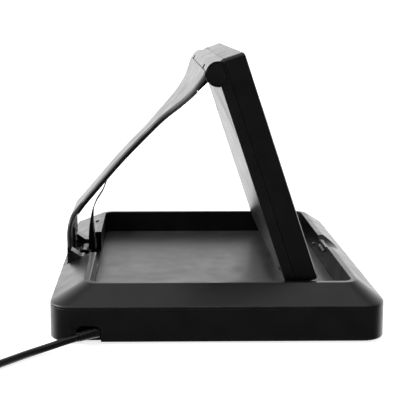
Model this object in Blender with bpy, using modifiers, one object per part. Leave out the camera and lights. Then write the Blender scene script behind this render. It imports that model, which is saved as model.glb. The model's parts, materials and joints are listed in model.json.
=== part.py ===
"""A book scanner that folds flat: a tray base, a rear arm, and a tilting glass panel.

Frame: metres, +Z up. The origin is on the table under the middle of the base.
-X is the rear, where the arm is hinged, and +X is the front, where the latch is.
"""
import math

import bmesh
import bpy
from mathutils import Matrix, Vector

MM = 0.001

# ---------------------------------------------------------------- base sizes, mm
BASE_LENGTH = 300.0        # along X
BASE_WIDTH = 362.0         # along Y
BASE_CORNER = 22.0         # plan radius of the outer corners
FOOT_HEIGHT = 2.2
FOOT_RADIUS = 9.0
FOOT_INSET = 26.0          # from the base's sides to a foot's centre
BASE_UNDERSIDE = 1.5       # height of the base's bottom over the table
FOLD_HEIGHT = 33.6         # where the upright side turns into the bevel
LIP_HEIGHT = 48.4          # height of the flat lip round the tray
PARTING_BELOW_FOLD = 2.2   # from the fold down to the line between the shells
SHELL_WALL = 3.0
BASE_FLOOR = 2.5
REAR_RIM = 34.8            # side to tray, at the rear
FRONT_RIM = 26.5
SIDE_RIM = 29.0
LIP_WIDTH = 5.5
LIP_ROUND = 0.8
TRAY_CORNER = 9.0
TRAY_FLOOR_HEIGHT = 24.4   # top of the liner
TUB_WALL = 2.5
LINER_THICKNESS = 0.8
GAP = 0.3                  # between pieces that touch
SLIDE_GAP = 0.5            # round pieces that move

# ---------------------------------------------------------------- rear hinge
PIVOT_FROM_BACK = 20.0
PIVOT_HEIGHT = 37.5
PIN_RADIUS = 3.0
PIN_CLEARANCE = 0.06
ARM_PIN_SEAT = 6.5         # how far the pin goes into the notch's side walls
FOOT_SIDE_CLEARANCE = 1.5  # between the arm's foot and the notch's side walls
NOTCH_FLOOR = 27.6
NOTCH_REAR_WALL = 3.6
NOTCH_WALL_TOP = 33.2      # the rear wall is cut down so that the arm can lean back over it
NOTCH_BLOCK = 9.0          # solid plastic beside the notch
FOOT_WIDTH = 88.0
KNUCKLE_WALL = 3.5         # round the pin, in the arm's foot
KNUCKLE_WIDTH = 14.0
ROLL_WALL = 2.5            # round the pin, in the steel leaf
LEAF_WIDTH = 26.0
LEAF_THICKNESS = 1.2
LEAF_HEIGHT = 29.5         # from the pivot to the steel leaf's top edge
LEAF_SCREWS = 3
LEAF_SCREW_TOP = 23.9      # from the pivot to the highest screw
LEAF_SCREW_PITCH = 5.9
LEAF_SCREW_RADIUS = 1.5
LEAF_SCREW_HEAD = 0.8

# ---------------------------------------------------------------- arm
ARM_OPEN_ANGLE = 56.61     # degrees, from level up to the line from the pivot to the panel's axis
FOLD_CLEARANCE = 4.9       # between the folded arm's barrel and the tray's front wall
FOOT_PLATE_BACK = 13.1     # from the pivot back to the middle of the foot's plate
FOOT_PLATE_LOW = 3.5       # from the pivot up to the plate's bottom, and to where it starts to bend
FOOT_PLATE_HIGH = 31.0
ARM_CURVE = [              # the rest of the skin's middle, as shares of the arm's reach and rise
    (-0.080, 0.223),
    (-0.032, 0.267),
    (0.086, 0.360),
    (0.297, 0.520),
    (0.508, 0.664),
    (0.641, 0.757),
    (0.755, 0.832),
    (0.840, 0.8995),
    (0.890, 0.962),
    (0.921, 1.010),
]
ARM_THICKNESS = 4.2
ARM_NARROW = 60.0          # width of the arm's middle
ARM_FOOT_END = 0.135       # shares of the length where the foot starts and ends narrowing
ARM_NECK = 0.245
ARM_FLARE_START = 0.62     # shares of the length where the arm starts and ends widening
ARM_FLARE_END = 0.985
ARM_FLARE_POWER = 1.85
ARM_STATIONS = 48
ARM_EDGE_ROUND = 1.4
COVER_THICKNESS = 1.4
COVER_INSET = 2.0          # the inner cover is this much narrower on each side
COVER_START = 0.19
COVER_FROM_TOP = 20.0      # from the arm's top to the cover's, clear of the lugs

# ---------------------------------------------------------------- panel and its hinge
LEAN = 18.57               # degrees that the panel leans back
PANEL_SIDE_CLEARANCE = 3.0  # from the panel's ends to the tray's side walls
SWING_CLEARANCE = 2.2      # from the swinging panel's corner to the tray's floor
BARREL_RADIUS = 11.5
PANEL_BACK = -1.0          # back face, along the panel's own thickness
PANEL_SEAM = 8.7
PANEL_FRONT = 28.2
PANEL_WALL = 2.4
PANEL_CORNER = 5.0
BACK_INSET = 2.2           # the back shell narrows by this much to its back face
FRONT_CHAMFER = 2.4
GLASS_MARGIN = 7.0
GLASS_THICKNESS = 2.0
WINDOW_END_MARGIN = 18.0   # along Y, from the panel's ends
WINDOW_EDGE_MARGIN = 14.25  # from the panel's top and bottom
PLATEN_THICKNESS = 4.0
PLATEN_LAP = 4.0           # the platen is this much larger than the window all round
PANEL_PIN_FROM_END = 9.0
LUG_FROM_END = 49.0        # from the panel's end to a lug's middle
LUG_WIDTH = 15.0
LUG_WALL = 3.2             # round the pin, in a lug
LUG_HALF = 2.6
LUG_REACH = 24.0
LUG_SLOT_GAP = 0.8
TILT_MIN = -50.0           # degrees, the panel swings in under the arm
TILT_MAX = 60.0            # degrees, the panel swings out to nearly level
CAP_THICKNESS = 1.8
CAP_INSET = 1.6
TOP_COVER_LENGTH = 79.0    # along Y, up to the panel's round corner
TOP_COVER_MARGIN = 1.2     # from the seam to the cover's pocket
TOP_COVER_THICKNESS = 1.6
BUMPER_LENGTH = 40.0
BUMPER_WIDTH = 8.0
BUMPER_HEIGHT = 1.2
BUMPER_FROM_END = 44.0
BACK_SCREW_RADIUS = 3.0
BACK_SCREW_DEPTH = 1.6
BACK_SCREW_FROM_END = 21.0
BACK_SCREW_FROM_BOTTOM = 15.0
BACK_SCREW_BELOW_AXIS = 60.0

# ---------------------------------------------------------------- latch and buttons
SCOOP_LENGTH = 40.0        # along X
SCOOP_WIDTH = 58.0
SCOOP_DEPTH = 10.0
SCOOP_CENTRE = 7.5         # from the tray's front wall
SCOOP_LIFT = 2.0
LATCH_WIDTH = 34.0
LATCH_THICKNESS = 3.4
LATCH_BOTTOM = 34.0
LATCH_TOP = 45.6
LATCH_TRAVEL = 3.0
LATCH_HOOK = 2.2
LATCH_HOOK_HEIGHT = 39.6
LATCH_BLOCK = 5.0
STRIKE_RADIUS = 1.9
STRIKE_OUT = 2.2
STRIKE_Y = 50.0
STRIKE_HEIGHT = 32.6
BUTTON_RADIUS = 2.1
BUTTON_HEIGHT = 4.4
BUTTON_OUT = 1.4
BUTTON_TRAVEL = 0.8
BUTTON_PLACES = [(21.4, 76.0), (27.0, 76.0)]  # from the base's rear and from its far side

# ---------------------------------------------------------------- base screws
SCREW_HEAD_RADIUS = 3.2
SCREW_HEAD_HEIGHT = 1.8
SCREW_SHANK_RADIUS = 1.5
SCREW_LENGTH = 14.0
BOSS_RADIUS = 4.6
SCREW_FROM_END = 16.0      # from the base's ends, along X
SCREW_FROM_SIDE = 80.0     # from the base's sides, along Y

# ---------------------------------------------------------------- mains cord
CORD_DIAMETER = 6.6
CORD_ROUTE = [             # middle of the cord, from the base's rear near corner, to the coil
    (26.0, -5.8, 8.0),
    (16.0, -11.6, 6.8),
    (3.5, -18.2, 4.6),
    (-7.0, -26.0, 3.7),
    (-16.0, -35.2, 3.6),
    (-34.2, -56.0, 3.6),
    (-45.4, -68.8, 3.8),
]
CORD_POINT_STEP = 2.6      # diameters between the tube's points
RELIEF_LENGTH = 20.0
RELIEF_ROOT_RADIUS = 5.0
RELIEF_TIP_RADIUS = 3.9
ARCH_FROM_BACK = 35.7
ARCH_WIDTH = 21.4
ARCH_HEIGHT = 15.0
ARCH_CORNER = 6.0
COIL_CENTRE = (-104.0, -55.5)  # from the base's rear near corner
COIL_MID_RADIUS = 42.7
COIL_ABREAST = 4           # turns side by side
COIL_LAYERS = 2
COIL_PITCH = 6.75          # from the middle of one turn to the next
COIL_LIFT = 0.3            # the coil's bottom over the table
COIL_CLEARANCE = 0.3
TAIL_SLOT = 0.5            # pitches from the coil's middle radius out to the turn that the tail leaves
TAIL_RUN = 37.5            # along Y, from the coil's middle to the tail's start
TAIL_LENGTH = 22.0
TAIL_TOP = 9.8             # height of the tail's start
PLUG_LENGTH = 34.0
PLUG_WIDTH = 20.0
PLUG_HEIGHT = 16.0
BLADE_LENGTH = 17.0
BLADE_THICKNESS = 1.5
BLADE_WIDTH = 6.3
BLADE_SPACING = 12.7

# ---------------------------------------------------------------- hinge guard
GUARD_ROUTE = [            # middle of the guard: X from the roll's front, Z from the pivot, thickness
    (2.6, 4.1, 7.6),
    (2.3, 14.5, 6.8),
    (1.9, 24.5, 5.0),
    (2.1, 34.5, 3.0),
    (3.3, 45.5, 1.6),
]
GUARD_WIDTH = 16.0
RIBBON_CLEARANCE = 1.5     # from the ribbon's end to the inner cover
RIBBON_MEETS_ARM = 87.0    # from the arm's foot, along the arm, to the ribbon's end
RIBBON_SWAY = 0.8          # how far the ribbon bends to each side of a straight line
RIBBON_THICKNESS = 1.2
RIBBON_WIDTH = 12.0

COLOURS = {                # linear colour, roughness, metallic
    "satin_black": ((0.012, 0.012, 0.014), 0.38, 0.0),
    "grain_black": ((0.016, 0.016, 0.018), 0.55, 0.0),
    "glass": ((0.01, 0.012, 0.014), 0.05, 0.0),
    "steel": ((0.55, 0.55, 0.56), 0.3, 1.0),
    "rubber": ((0.02, 0.02, 0.02), 0.8, 0.0),
    "cord_black": ((0.01, 0.01, 0.011), 0.35, 0.0),
    "ribbon_grey": ((0.5, 0.5, 0.52), 0.5, 0.0),
}


# ================================================================ helpers
def clear_scene():
    for old in list(bpy.data.objects):
        bpy.data.objects.remove(old, do_unlink=True)


def new_collection(name):
    made = bpy.data.collections.new(name)
    bpy.context.scene.collection.children.link(made)
    return made


def material(kind, name):
    colour, roughness, metallic = COLOURS[kind]
    made = bpy.data.materials.new(name)
    made.use_nodes = True
    shader = made.node_tree.nodes["Principled BSDF"]
    shader.inputs["Base Color"].default_value = (*colour, 1.0)
    shader.inputs["Roughness"].default_value = roughness
    shader.inputs["Metallic"].default_value = metallic
    return made


def finish_part(obj, kind, smooth=30.0):
    """Names the look of a part, shades its round faces smooth, and files it with the parts."""
    obj.data.materials.clear()
    obj.data.materials.append(material(kind, obj.name))
    obj.data.shade_smooth()
    obj.data.set_sharp_from_angle(angle=math.radians(smooth))
    return obj


def object_from_bmesh(name, mesh_data, collection):
    mesh = bpy.data.meshes.new(name)
    bmesh.ops.recalc_face_normals(mesh_data, faces=mesh_data.faces)
    mesh_data.to_mesh(mesh)
    mesh_data.free()
    obj = bpy.data.objects.new(name, mesh)
    collection.objects.link(obj)
    return obj


def hide_cutter(obj):
    obj.hide_render = True
    obj.display_type = "WIRE"
    return obj


def box(name, low, high, collection, round_edge=0.0, segments=2):
    """A box between two corners in mm, with its edges rounded by a Bevel modifier."""
    data = bmesh.new()
    bmesh.ops.create_cube(data, size=1.0)
    size = [(h - l) * MM for l, h in zip(low, high)]
    middle = [(h + l) / 2 * MM for l, h in zip(low, high)]
    bmesh.ops.scale(data, vec=size, verts=data.verts)
    bmesh.ops.translate(data, vec=middle, verts=data.verts)
    obj = object_from_bmesh(name, data, collection)
    if round_edge:
        bevel(obj, round_edge, segments)
    return obj


def cylinder(name, radius, length, centre, axis, collection, sides=32, top_radius=None):
    """A closed cylinder or cone in mm, centred on a point, its length along axis."""
    data = bmesh.new()
    bmesh.ops.create_cone(
        data, cap_ends=True, segments=sides, radius1=radius * MM,
        radius2=(radius if top_radius is None else top_radius) * MM, depth=length * MM)
    turn = Vector((0, 0, 1)).rotation_difference(Vector(axis)).to_matrix().to_4x4()
    place = Matrix.Translation(Vector(centre) * MM) @ turn
    bmesh.ops.transform(data, matrix=place, verts=data.verts)
    return object_from_bmesh(name, data, collection)


def loft(name, rings, collection):
    """A closed solid through rings of as many points each, in mm, capped at both ends."""
    data = bmesh.new()
    rows = [[data.verts.new(Vector(p) * MM) for p in ring] for ring in rings]
    count = len(rows[0])
    for low, high in zip(rows, rows[1:]):
        for i in range(count):
            j = (i + 1) % count
            data.faces.new((low[i], low[j], high[j], high[i]))
    data.faces.new(rows[0])
    data.faces.new(rows[-1])
    return object_from_bmesh(name, data, collection)


def extruded(name, outline, y_low, y_high, collection):
    """A side-view outline of X and Z points in mm, drawn out along Y."""
    return loft(name, [[(x, y, z) for x, z in outline] for y in (y_low, y_high)], collection)


def rounded_rectangle(low_x, high_x, low_y, high_y, radius, steps=6):
    """Points round a rectangle with round corners, counter-clockwise from the +X side."""
    points = []
    corners = ((high_x - radius, low_y + radius, -90), (high_x - radius, high_y - radius, 0),
               (low_x + radius, high_y - radius, 90), (low_x + radius, low_y + radius, 180))
    for x, y, start in corners:
        for i in range(steps + 1):
            turn = math.radians(start + 90 * i / steps)
            points.append((x + radius * math.cos(turn), y + radius * math.sin(turn)))
    return points


def ring_at(outline, z):
    return [(x, y, z) for x, y in outline]


def bevel(obj, width, segments=2, angle=40.0):
    modifier = obj.modifiers.new("round", "BEVEL")
    modifier.width = width * MM
    modifier.segments = segments
    modifier.limit_method = "ANGLE"
    modifier.angle_limit = math.radians(angle)
    modifier.harden_normals = False
    return modifier


def cut(obj, tool, operation="DIFFERENCE"):
    modifier = obj.modifiers.new(f"{operation.lower()}_{tool.name}", "BOOLEAN")
    modifier.operation = operation
    modifier.solver = "EXACT"
    modifier.object = tool
    hide_cutter(tool)
    return modifier


def hang(obj, empty):
    """Parents a piece, modelled in world coordinates, to its joint's empty."""
    bpy.context.view_layer.update()
    obj.parent = empty
    obj.matrix_parent_inverse = empty.matrix_world.inverted()
    return obj


def place_in_panel(obj, empty):
    """Parents a piece, modelled in the panel's own frame, to the panel's empty."""
    obj.parent = empty
    return obj


def smooth_route(points, samples):
    """Points along a Catmull-Rom curve through all the given points, ends included."""
    ends = [[2 * a - b for a, b in zip(points[0], points[1])],
            [2 * a - b for a, b in zip(points[-1], points[-2])]]
    guide = [ends[0], *points, ends[1]]
    found = []
    spans = len(points) - 1
    for i in range(samples):
        place = i / (samples - 1) * spans
        span = min(int(place), spans - 1)
        t = place - span
        a, b, c, d = guide[span:span + 4]
        found.append(tuple(
            0.5 * (2 * q + (r - p) * t + (2 * p - 5 * q + 4 * r - s) * t * t
                   + (3 * q - p - 3 * r + s) * t ** 3)
            for p, q, r, s in zip(a, b, c, d)))
    return found


def even_points(points, count):
    """count points an equal distance apart along a line through many points."""
    far = [0.0]
    for a, b in zip(points, points[1:]):
        far.append(far[-1] + math.dist(a, b))
    found = []
    span = 0
    for i in range(count):
        want = far[-1] * i / (count - 1)
        while span < len(points) - 2 and far[span + 1] < want:
            span += 1
        step = far[span + 1] - far[span]
        t = (want - far[span]) / step
        found.append(tuple(a + (b - a) * t for a, b in zip(points[span], points[span + 1])))
    return found


def ease(t):
    """0 to 1, level at both ends."""
    t = min(max(t, 0.0), 1.0)
    return t * t * (3 - 2 * t)


def strip(name, line, thicknesses, widths, collection, edge=0.0):
    """A closed strip along a side-view line, with its thickness and its width at each point.
    Its section is a rectangle with small cut corners, across the line."""
    rings = []
    last = len(line) - 1
    for i, (x, z) in enumerate(line):
        before, after = line[max(i - 1, 0)], line[min(i + 1, last)]
        along = Vector((after[0] - before[0], 0, after[1] - before[1])).normalized()
        up = Vector((-along.z, 0, along.x))
        half, side = thicknesses[i] / 2, widths[i] / 2
        corner = min(edge, half * 0.8)
        section = [(-half, -side + corner), (-half + corner, -side), (half - corner, -side),
                   (half, -side + corner), (half, side - corner), (half - corner, side),
                   (-half + corner, side), (-half, side - corner)]
        if not edge:
            section = [(-half, -side), (half, -side), (half, side), (-half, side)]
        rings.append([(x + up.x * n, y, z + up.z * n) for n, y in section])
    return loft(name, rings, collection)


# ================================================================ derived sizes
BASE_BACK = -BASE_LENGTH / 2
BASE_FRONT = BASE_LENGTH / 2
BASE_SIDE = BASE_WIDTH / 2
TRAY_BACK = BASE_BACK + REAR_RIM
TRAY_FRONT = BASE_FRONT - FRONT_RIM
TRAY_SIDE = BASE_SIDE - SIDE_RIM
PARTING = FOLD_HEIGHT - PARTING_BELOW_FOLD
BACK_SLOPE = (LIP_HEIGHT - FOLD_HEIGHT) / (REAR_RIM - LIP_WIDTH)
PIVOT_X = BASE_BACK + PIVOT_FROM_BACK
NOTCH_WIDTH = FOOT_WIDTH + 2 * FOOT_SIDE_CLEARANCE
ARM_PIN_LENGTH = NOTCH_WIDTH + 2 * ARM_PIN_SEAT
KNUCKLE_RADIUS = PIN_RADIUS + KNUCKLE_WALL
ROLL_RADIUS = PIN_RADIUS + ROLL_WALL
LUG_RING = PIN_RADIUS + LUG_WALL
ARM_LENGTH = TRAY_FRONT - PIVOT_X - BARREL_RADIUS - FOLD_CLEARANCE
ARM_REACH = ARM_LENGTH * math.cos(math.radians(ARM_OPEN_ANGLE))
ARM_RISE = ARM_LENGTH * math.sin(math.radians(ARM_OPEN_ANGLE))
AXIS_X = PIVOT_X + ARM_REACH
AXIS_HEIGHT = PIVOT_HEIGHT + ARM_RISE
PANEL_HALF = TRAY_SIDE - PANEL_SIDE_CLEARANCE
PANEL_WIDTH = 2 * PANEL_HALF
PANEL_SWING = AXIS_HEIGHT - TRAY_FLOOR_HEIGHT - SWING_CLEARANCE
PANEL_BELOW_AXIS = math.sqrt(PANEL_SWING ** 2 - PANEL_FRONT ** 2)
PANEL_MIDDLE = (BARREL_RADIUS - PANEL_BELOW_AXIS) / 2
WINDOW_WIDTH = PANEL_WIDTH - 2 * WINDOW_END_MARGIN
WINDOW_HEIGHT = PANEL_BELOW_AXIS + BARREL_RADIUS - 2 * WINDOW_EDGE_MARGIN
LUG_OFFSET = PANEL_HALF - LUG_FROM_END
BUMPER_OFFSET = PANEL_HALF - BUMPER_FROM_END


def outer_outline(inset=0.0):
    return rounded_rectangle(BASE_BACK + inset, BASE_FRONT - inset, -BASE_SIDE + inset,
                             BASE_SIDE - inset, BASE_CORNER - inset)


def tray_outline(grow=0.0):
    return rounded_rectangle(TRAY_BACK - grow, TRAY_FRONT + grow, -TRAY_SIDE - grow,
                             TRAY_SIDE + grow, TRAY_CORNER + grow)


def bevel_height(from_back):
    """Height of the rear bevel's surface, at a distance in from the base's rear side."""
    return FOLD_HEIGHT + from_back * BACK_SLOPE


# ================================================================ base
def make_base_top(parts, cutters):
    """The upper shell: bevelled rim, lip and tub, with the hinge notch and the finger scoop."""
    top = loft("base_top", [ring_at(outer_outline(), PARTING + GAP / 2),
                            ring_at(outer_outline(), FOLD_HEIGHT),
                            ring_at(tray_outline(LIP_WIDTH), LIP_HEIGHT)], parts)
    bevel(top, LIP_ROUND, 2, 8.0)
    inside = loft("cut_rim_inside", [
        ring_at(outer_outline(SHELL_WALL), PARTING - 5),
        ring_at(outer_outline(SHELL_WALL), FOLD_HEIGHT - SHELL_WALL / 2),
        ring_at(tray_outline(LIP_WIDTH - 1.0), LIP_HEIGHT - SHELL_WALL)], cutters)
    half_notch = NOTCH_WIDTH / 2 + NOTCH_BLOCK
    block = box("keep_notch", (BASE_BACK - 5, -half_notch, 0),
                (TRAY_BACK + 3, half_notch, LIP_HEIGHT + 5), cutters)
    cut(inside, block)
    half_latch = SCOOP_WIDTH / 2 + LATCH_BLOCK
    latch_block = box("keep_latch", (TRAY_FRONT - 3, -half_latch, 0),
                      (BASE_FRONT + 5, half_latch, LIP_HEIGHT + 5), cutters)
    cut(inside, latch_block)
    cut(top, inside)
    tub_floor = TRAY_FLOOR_HEIGHT - LINER_THICKNESS - GAP
    tub = loft("join_tub", [ring_at(tray_outline(TUB_WALL), tub_floor - TUB_WALL),
                            ring_at(tray_outline(TUB_WALL), LIP_HEIGHT - 1.5)], cutters)
    cut(top, tub, "UNION")
    for x in (-1, 1):
        for y in (-1, 1):
            boss = cylinder(f"join_boss_{x}_{y}", BOSS_RADIUS,
                            PARTING + 8 - (BASE_UNDERSIDE + BASE_FLOOR + GAP),
                            (x * (BASE_BACK + SCREW_FROM_END) * -1, y * (BASE_SIDE - SCREW_FROM_SIDE),
                             (PARTING + 8 + BASE_UNDERSIDE + BASE_FLOOR + GAP) / 2),
                            (0, 0, 1), cutters, 16)
            cut(top, boss, "UNION")
            hole = cylinder(f"cut_boss_{x}_{y}", SCREW_SHANK_RADIUS + GAP, 2 * SCREW_LENGTH,
                            (x * (BASE_BACK + SCREW_FROM_END) * -1, y * (BASE_SIDE - SCREW_FROM_SIDE),
                             BASE_UNDERSIDE), (0, 0, 1), cutters, 12)
            cut(top, hole)
    well = box("join_notch_well", (BASE_BACK + SHELL_WALL + GAP, -half_notch, NOTCH_FLOOR - TUB_WALL),
               (TRAY_BACK, half_notch, FOLD_HEIGHT), cutters)
    cut(top, well, "UNION")
    recess = loft("cut_tray", [ring_at(tray_outline(), tub_floor),
                               ring_at(tray_outline(), LIP_HEIGHT + 10)], cutters)
    cut(top, recess)
    notch = box("cut_notch", (BASE_BACK + NOTCH_REAR_WALL, -NOTCH_WIDTH / 2, NOTCH_FLOOR),
                (TRAY_BACK + 2, NOTCH_WIDTH / 2, LIP_HEIGHT + 10), cutters)
    cut(top, notch)
    wall_top = box("cut_notch_wall", (BASE_BACK - 5, -NOTCH_WIDTH / 2, NOTCH_WALL_TOP),
                   (BASE_BACK + NOTCH_REAR_WALL + 2, NOTCH_WIDTH / 2, LIP_HEIGHT + 5), cutters)
    cut(top, wall_top)
    pin_hole = cylinder("cut_arm_pin", PIN_RADIUS + GAP, ARM_PIN_LENGTH + 2 * GAP,
                        (PIVOT_X, 0, PIVOT_HEIGHT), (0, 1, 0), cutters, 24)
    cut(top, pin_hole)
    cut(top, make_scoop_cutter(cutters))
    pocket = box("cut_latch", (TRAY_FRONT - 2, -LATCH_WIDTH / 2 - SLIDE_GAP, LATCH_BOTTOM - GAP),
                 (TRAY_FRONT + GAP + LATCH_THICKNESS + LATCH_TRAVEL + SLIDE_GAP,
                  LATCH_WIDTH / 2 + SLIDE_GAP, LIP_HEIGHT + 10), cutters)
    cut(top, pocket)
    strike_hole = cylinder("cut_strike", STRIKE_RADIUS + GAP, 2 * TUB_WALL + 2,
                           (TRAY_FRONT + TUB_WALL, STRIKE_Y, STRIKE_HEIGHT), (1, 0, 0), cutters, 16)
    cut(top, strike_hole)
    for i, place in enumerate(BUTTON_PLACES):
        centre, axis = button_place(*place)
        cut(top, cylinder(f"cut_button_{i}", BUTTON_RADIUS + SLIDE_GAP / 2, 16.0, centre, axis,
                          cutters, 20))
    return finish_part(top, "satin_black")


def make_scoop_cutter(cutters):
    """An ellipsoid that dishes the front rim for a finger."""
    data = bmesh.new()
    bmesh.ops.create_uvsphere(data, u_segments=32, v_segments=16, radius=1.0)
    size = (SCOOP_LENGTH / 2 * MM, SCOOP_WIDTH / 2 * MM, SCOOP_DEPTH * MM)
    bmesh.ops.scale(data, vec=size, verts=data.verts)
    centre = Vector((TRAY_FRONT + SCOOP_CENTRE, 0, LIP_HEIGHT + SCOOP_LIFT)) * MM
    bmesh.ops.translate(data, vec=centre, verts=data.verts)
    return object_from_bmesh("cut_scoop", data, cutters)


def make_base_bottom(parts, cutters):
    """The lower shell: floor and upright sides, open at the top."""
    bottom = loft("base_bottom", [ring_at(outer_outline(), BASE_UNDERSIDE),
                                  ring_at(outer_outline(), PARTING - GAP / 2)], parts)
    inside = loft("cut_base_inside", [
        ring_at(outer_outline(SHELL_WALL), BASE_UNDERSIDE + BASE_FLOOR),
        ring_at(outer_outline(SHELL_WALL), PARTING + 5)], cutters)
    cut(bottom, inside)
    for i, (x, y) in enumerate(foot_places()):
        cut(bottom, cylinder(f"cut_foot_{i}", FOOT_RADIUS + GAP, 2 * (FOOT_HEIGHT + GAP - BASE_UNDERSIDE),
                             (x, y, BASE_UNDERSIDE), (0, 0, 1), cutters, 24))
    for i, (x, y) in enumerate(screw_places()):
        cut(bottom, cylinder(f"cut_screw_{i}", SCREW_SHANK_RADIUS + GAP, 20, (x, y, BASE_UNDERSIDE),
                             (0, 0, 1), cutters, 12))
    middle = BASE_BACK + ARCH_FROM_BACK
    arch = rounded_rectangle(middle - ARCH_WIDTH / 2, middle + ARCH_WIDTH / 2,
                             -ARCH_HEIGHT, ARCH_HEIGHT, ARCH_CORNER)
    opening = loft("cut_arch", [[(x, y, BASE_UNDERSIDE + z) for x, z in arch]
                                for y in (-BASE_SIDE - 5, -BASE_SIDE + SHELL_WALL + 3)], cutters)
    cut(bottom, opening)
    return finish_part(bottom, "satin_black")


def foot_places():
    x, y = BASE_FRONT - FOOT_INSET, BASE_SIDE - FOOT_INSET
    return [(-x, -y), (x, -y), (-x, y), (x, y)]


def screw_places():
    x, y = BASE_FRONT - SCREW_FROM_END, BASE_SIDE - SCREW_FROM_SIDE
    return [(-x, -y), (x, -y), (-x, y), (x, y)]


def make_feet_and_screws(parts):
    for i, (x, y) in enumerate(foot_places(), 1):
        foot = cylinder(f"foot_{i}", FOOT_RADIUS, FOOT_HEIGHT, (x, y, FOOT_HEIGHT / 2), (0, 0, 1),
                        parts, 24)
        finish_part(foot, "rubber")
    low = BASE_UNDERSIDE - GAP - SCREW_HEAD_HEIGHT / 2
    for i, (x, y) in enumerate(screw_places(), 1):
        finish_part(turned_screw(f"base_screw_{i}", SCREW_HEAD_RADIUS, 0.9, SCREW_SHANK_RADIUS,
                                 SCREW_LENGTH, (x, y, low), parts), "steel")


def turned_screw(name, head_radius, head_height, shank_radius, length, place, parts):
    """A screw turned about Z with its head down, from its profile."""
    data = bmesh.new()
    profile = [(0, length), (shank_radius, length), (shank_radius, head_height),
               (head_radius, head_height), (head_radius, 0.25), (head_radius - 0.4, 0), (0, 0)]
    points = [data.verts.new((x * MM, 0, z * MM)) for x, z in profile]
    for a, b in zip(points, points[1:]):
        data.edges.new((a, b))
    mesh = bpy.data.meshes.new(name)
    data.to_mesh(mesh)
    data.free()
    obj = bpy.data.objects.new(name, mesh)
    parts.objects.link(obj)
    obj.location = Vector(place) * MM
    turn = obj.modifiers.new("turn", "SCREW")
    turn.steps = 14
    turn.render_steps = 14
    turn.use_merge_vertices = True
    turn.merge_threshold = 0.00001
    turn.use_normal_calculate = True
    return obj


def make_liner(parts):
    liner = loft("tray_liner", [ring_at(tray_outline(-GAP), TRAY_FLOOR_HEIGHT - LINER_THICKNESS),
                                ring_at(tray_outline(-GAP), TRAY_FLOOR_HEIGHT)], parts)
    return finish_part(liner, "grain_black")


# ================================================================ rear hinge and arm
def arm_line():
    """The outer skin's middle line: X, Z and the share of its length at each station."""
    line = even_points(smooth_route(arm_route(), 300), ARM_STATIONS)
    return [(x, z, i / (ARM_STATIONS - 1)) for i, (x, z) in enumerate(line)]


def arm_route():
    """Middle of the outer skin: up the foot's plate, then the arm's curve to the barrel."""
    plate = PIVOT_X - FOOT_PLATE_BACK
    foot = [(plate, PIVOT_HEIGHT + FOOT_PLATE_LOW + (FOOT_PLATE_HIGH - FOOT_PLATE_LOW) * share)
            for share in (0.0, 0.5, 1.0)]
    return foot + [(PIVOT_X + x * ARM_REACH, PIVOT_HEIGHT + z * ARM_RISE) for x, z in ARM_CURVE]


def arm_width(share):
    """The arm's whole width: wide foot, narrow middle, then a flare to the panel's width."""
    narrowing = ease((share - ARM_FOOT_END) / (ARM_NECK - ARM_FOOT_END))
    flare = (share - ARM_FLARE_START) / (ARM_FLARE_END - ARM_FLARE_START)
    flare = min(max(flare, 0.0), 1.0) ** ARM_FLARE_POWER
    return (FOOT_WIDTH + (ARM_NARROW - FOOT_WIDTH) * narrowing
            + (PANEL_WIDTH - 2 * GAP - ARM_NARROW) * flare)


def shifted(line, distance):
    """The line moved sideways, to the left of its own direction."""
    moved = []
    for i, point in enumerate(line):
        before, after = line[max(i - 1, 0)], line[min(i + 1, len(line) - 1)]
        x, z = after[0] - before[0], after[1] - before[1]
        size = math.hypot(x, z)
        moved.append((point[0] - z / size * distance, point[1] + x / size * distance))
    return moved


def make_arm(parts, cutters, pivot):
    """The arm's outer skin, with its foot's knuckles at the bottom, cut round the barrel."""
    stations = arm_line()
    arm = strip("arm", [(x, z) for x, z, _ in stations], [ARM_THICKNESS] * len(stations),
                [arm_width(s) for _, _, s in stations], parts, ARM_EDGE_ROUND)
    for i, side in enumerate((-1, 1), 1):
        y = side * (FOOT_WIDTH / 2 - KNUCKLE_WIDTH / 2)
        ends = (y - KNUCKLE_WIDTH / 2, y + KNUCKLE_WIDTH / 2)
        web = extruded(f"join_web_{i}", foot_web_outline(), *ends, cutters)
        cut(arm, web, "UNION")
    pin = cylinder("cut_arm_knuckle", PIN_RADIUS + PIN_CLEARANCE, FOOT_WIDTH + 10,
                   (PIVOT_X, 0, PIVOT_HEIGHT), (0, 1, 0), cutters, 24)
    cut(arm, pin)
    barrel = cylinder("cut_barrel_seat", BARREL_RADIUS + SLIDE_GAP, PANEL_WIDTH + 10,
                      (AXIS_X, 0, AXIS_HEIGHT), (0, 1, 0), cutters, 64)
    cut(arm, barrel)
    for i, side in enumerate((-1, 1), 1):
        lug_seat = extruded(f"cut_lug_seat_{i}", lug_outline(GAP), side * LUG_OFFSET - LUG_WIDTH / 2 - GAP,
                            side * LUG_OFFSET + LUG_WIDTH / 2 + GAP, cutters)
        cut(arm, lug_seat)
    finish_part(arm, "satin_black")
    return hang(arm, pivot)


def foot_web_outline():
    """Side view of a foot web: round about the pin, running back to the foot's plate."""
    x_plate = PIVOT_X - FOOT_PLATE_BACK - ARM_THICKNESS / 2 + GAP
    points = [(x_plate, PIVOT_HEIGHT + FOOT_PLATE_HIGH / 2), (x_plate, PIVOT_HEIGHT + 1.0)]
    for i in range(15):
        turn = math.radians(215 + 250 * i / 14)
        points.append((PIVOT_X + KNUCKLE_RADIUS * math.cos(turn),
                       PIVOT_HEIGHT + KNUCKLE_RADIUS * math.sin(turn)))
    return points


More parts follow.
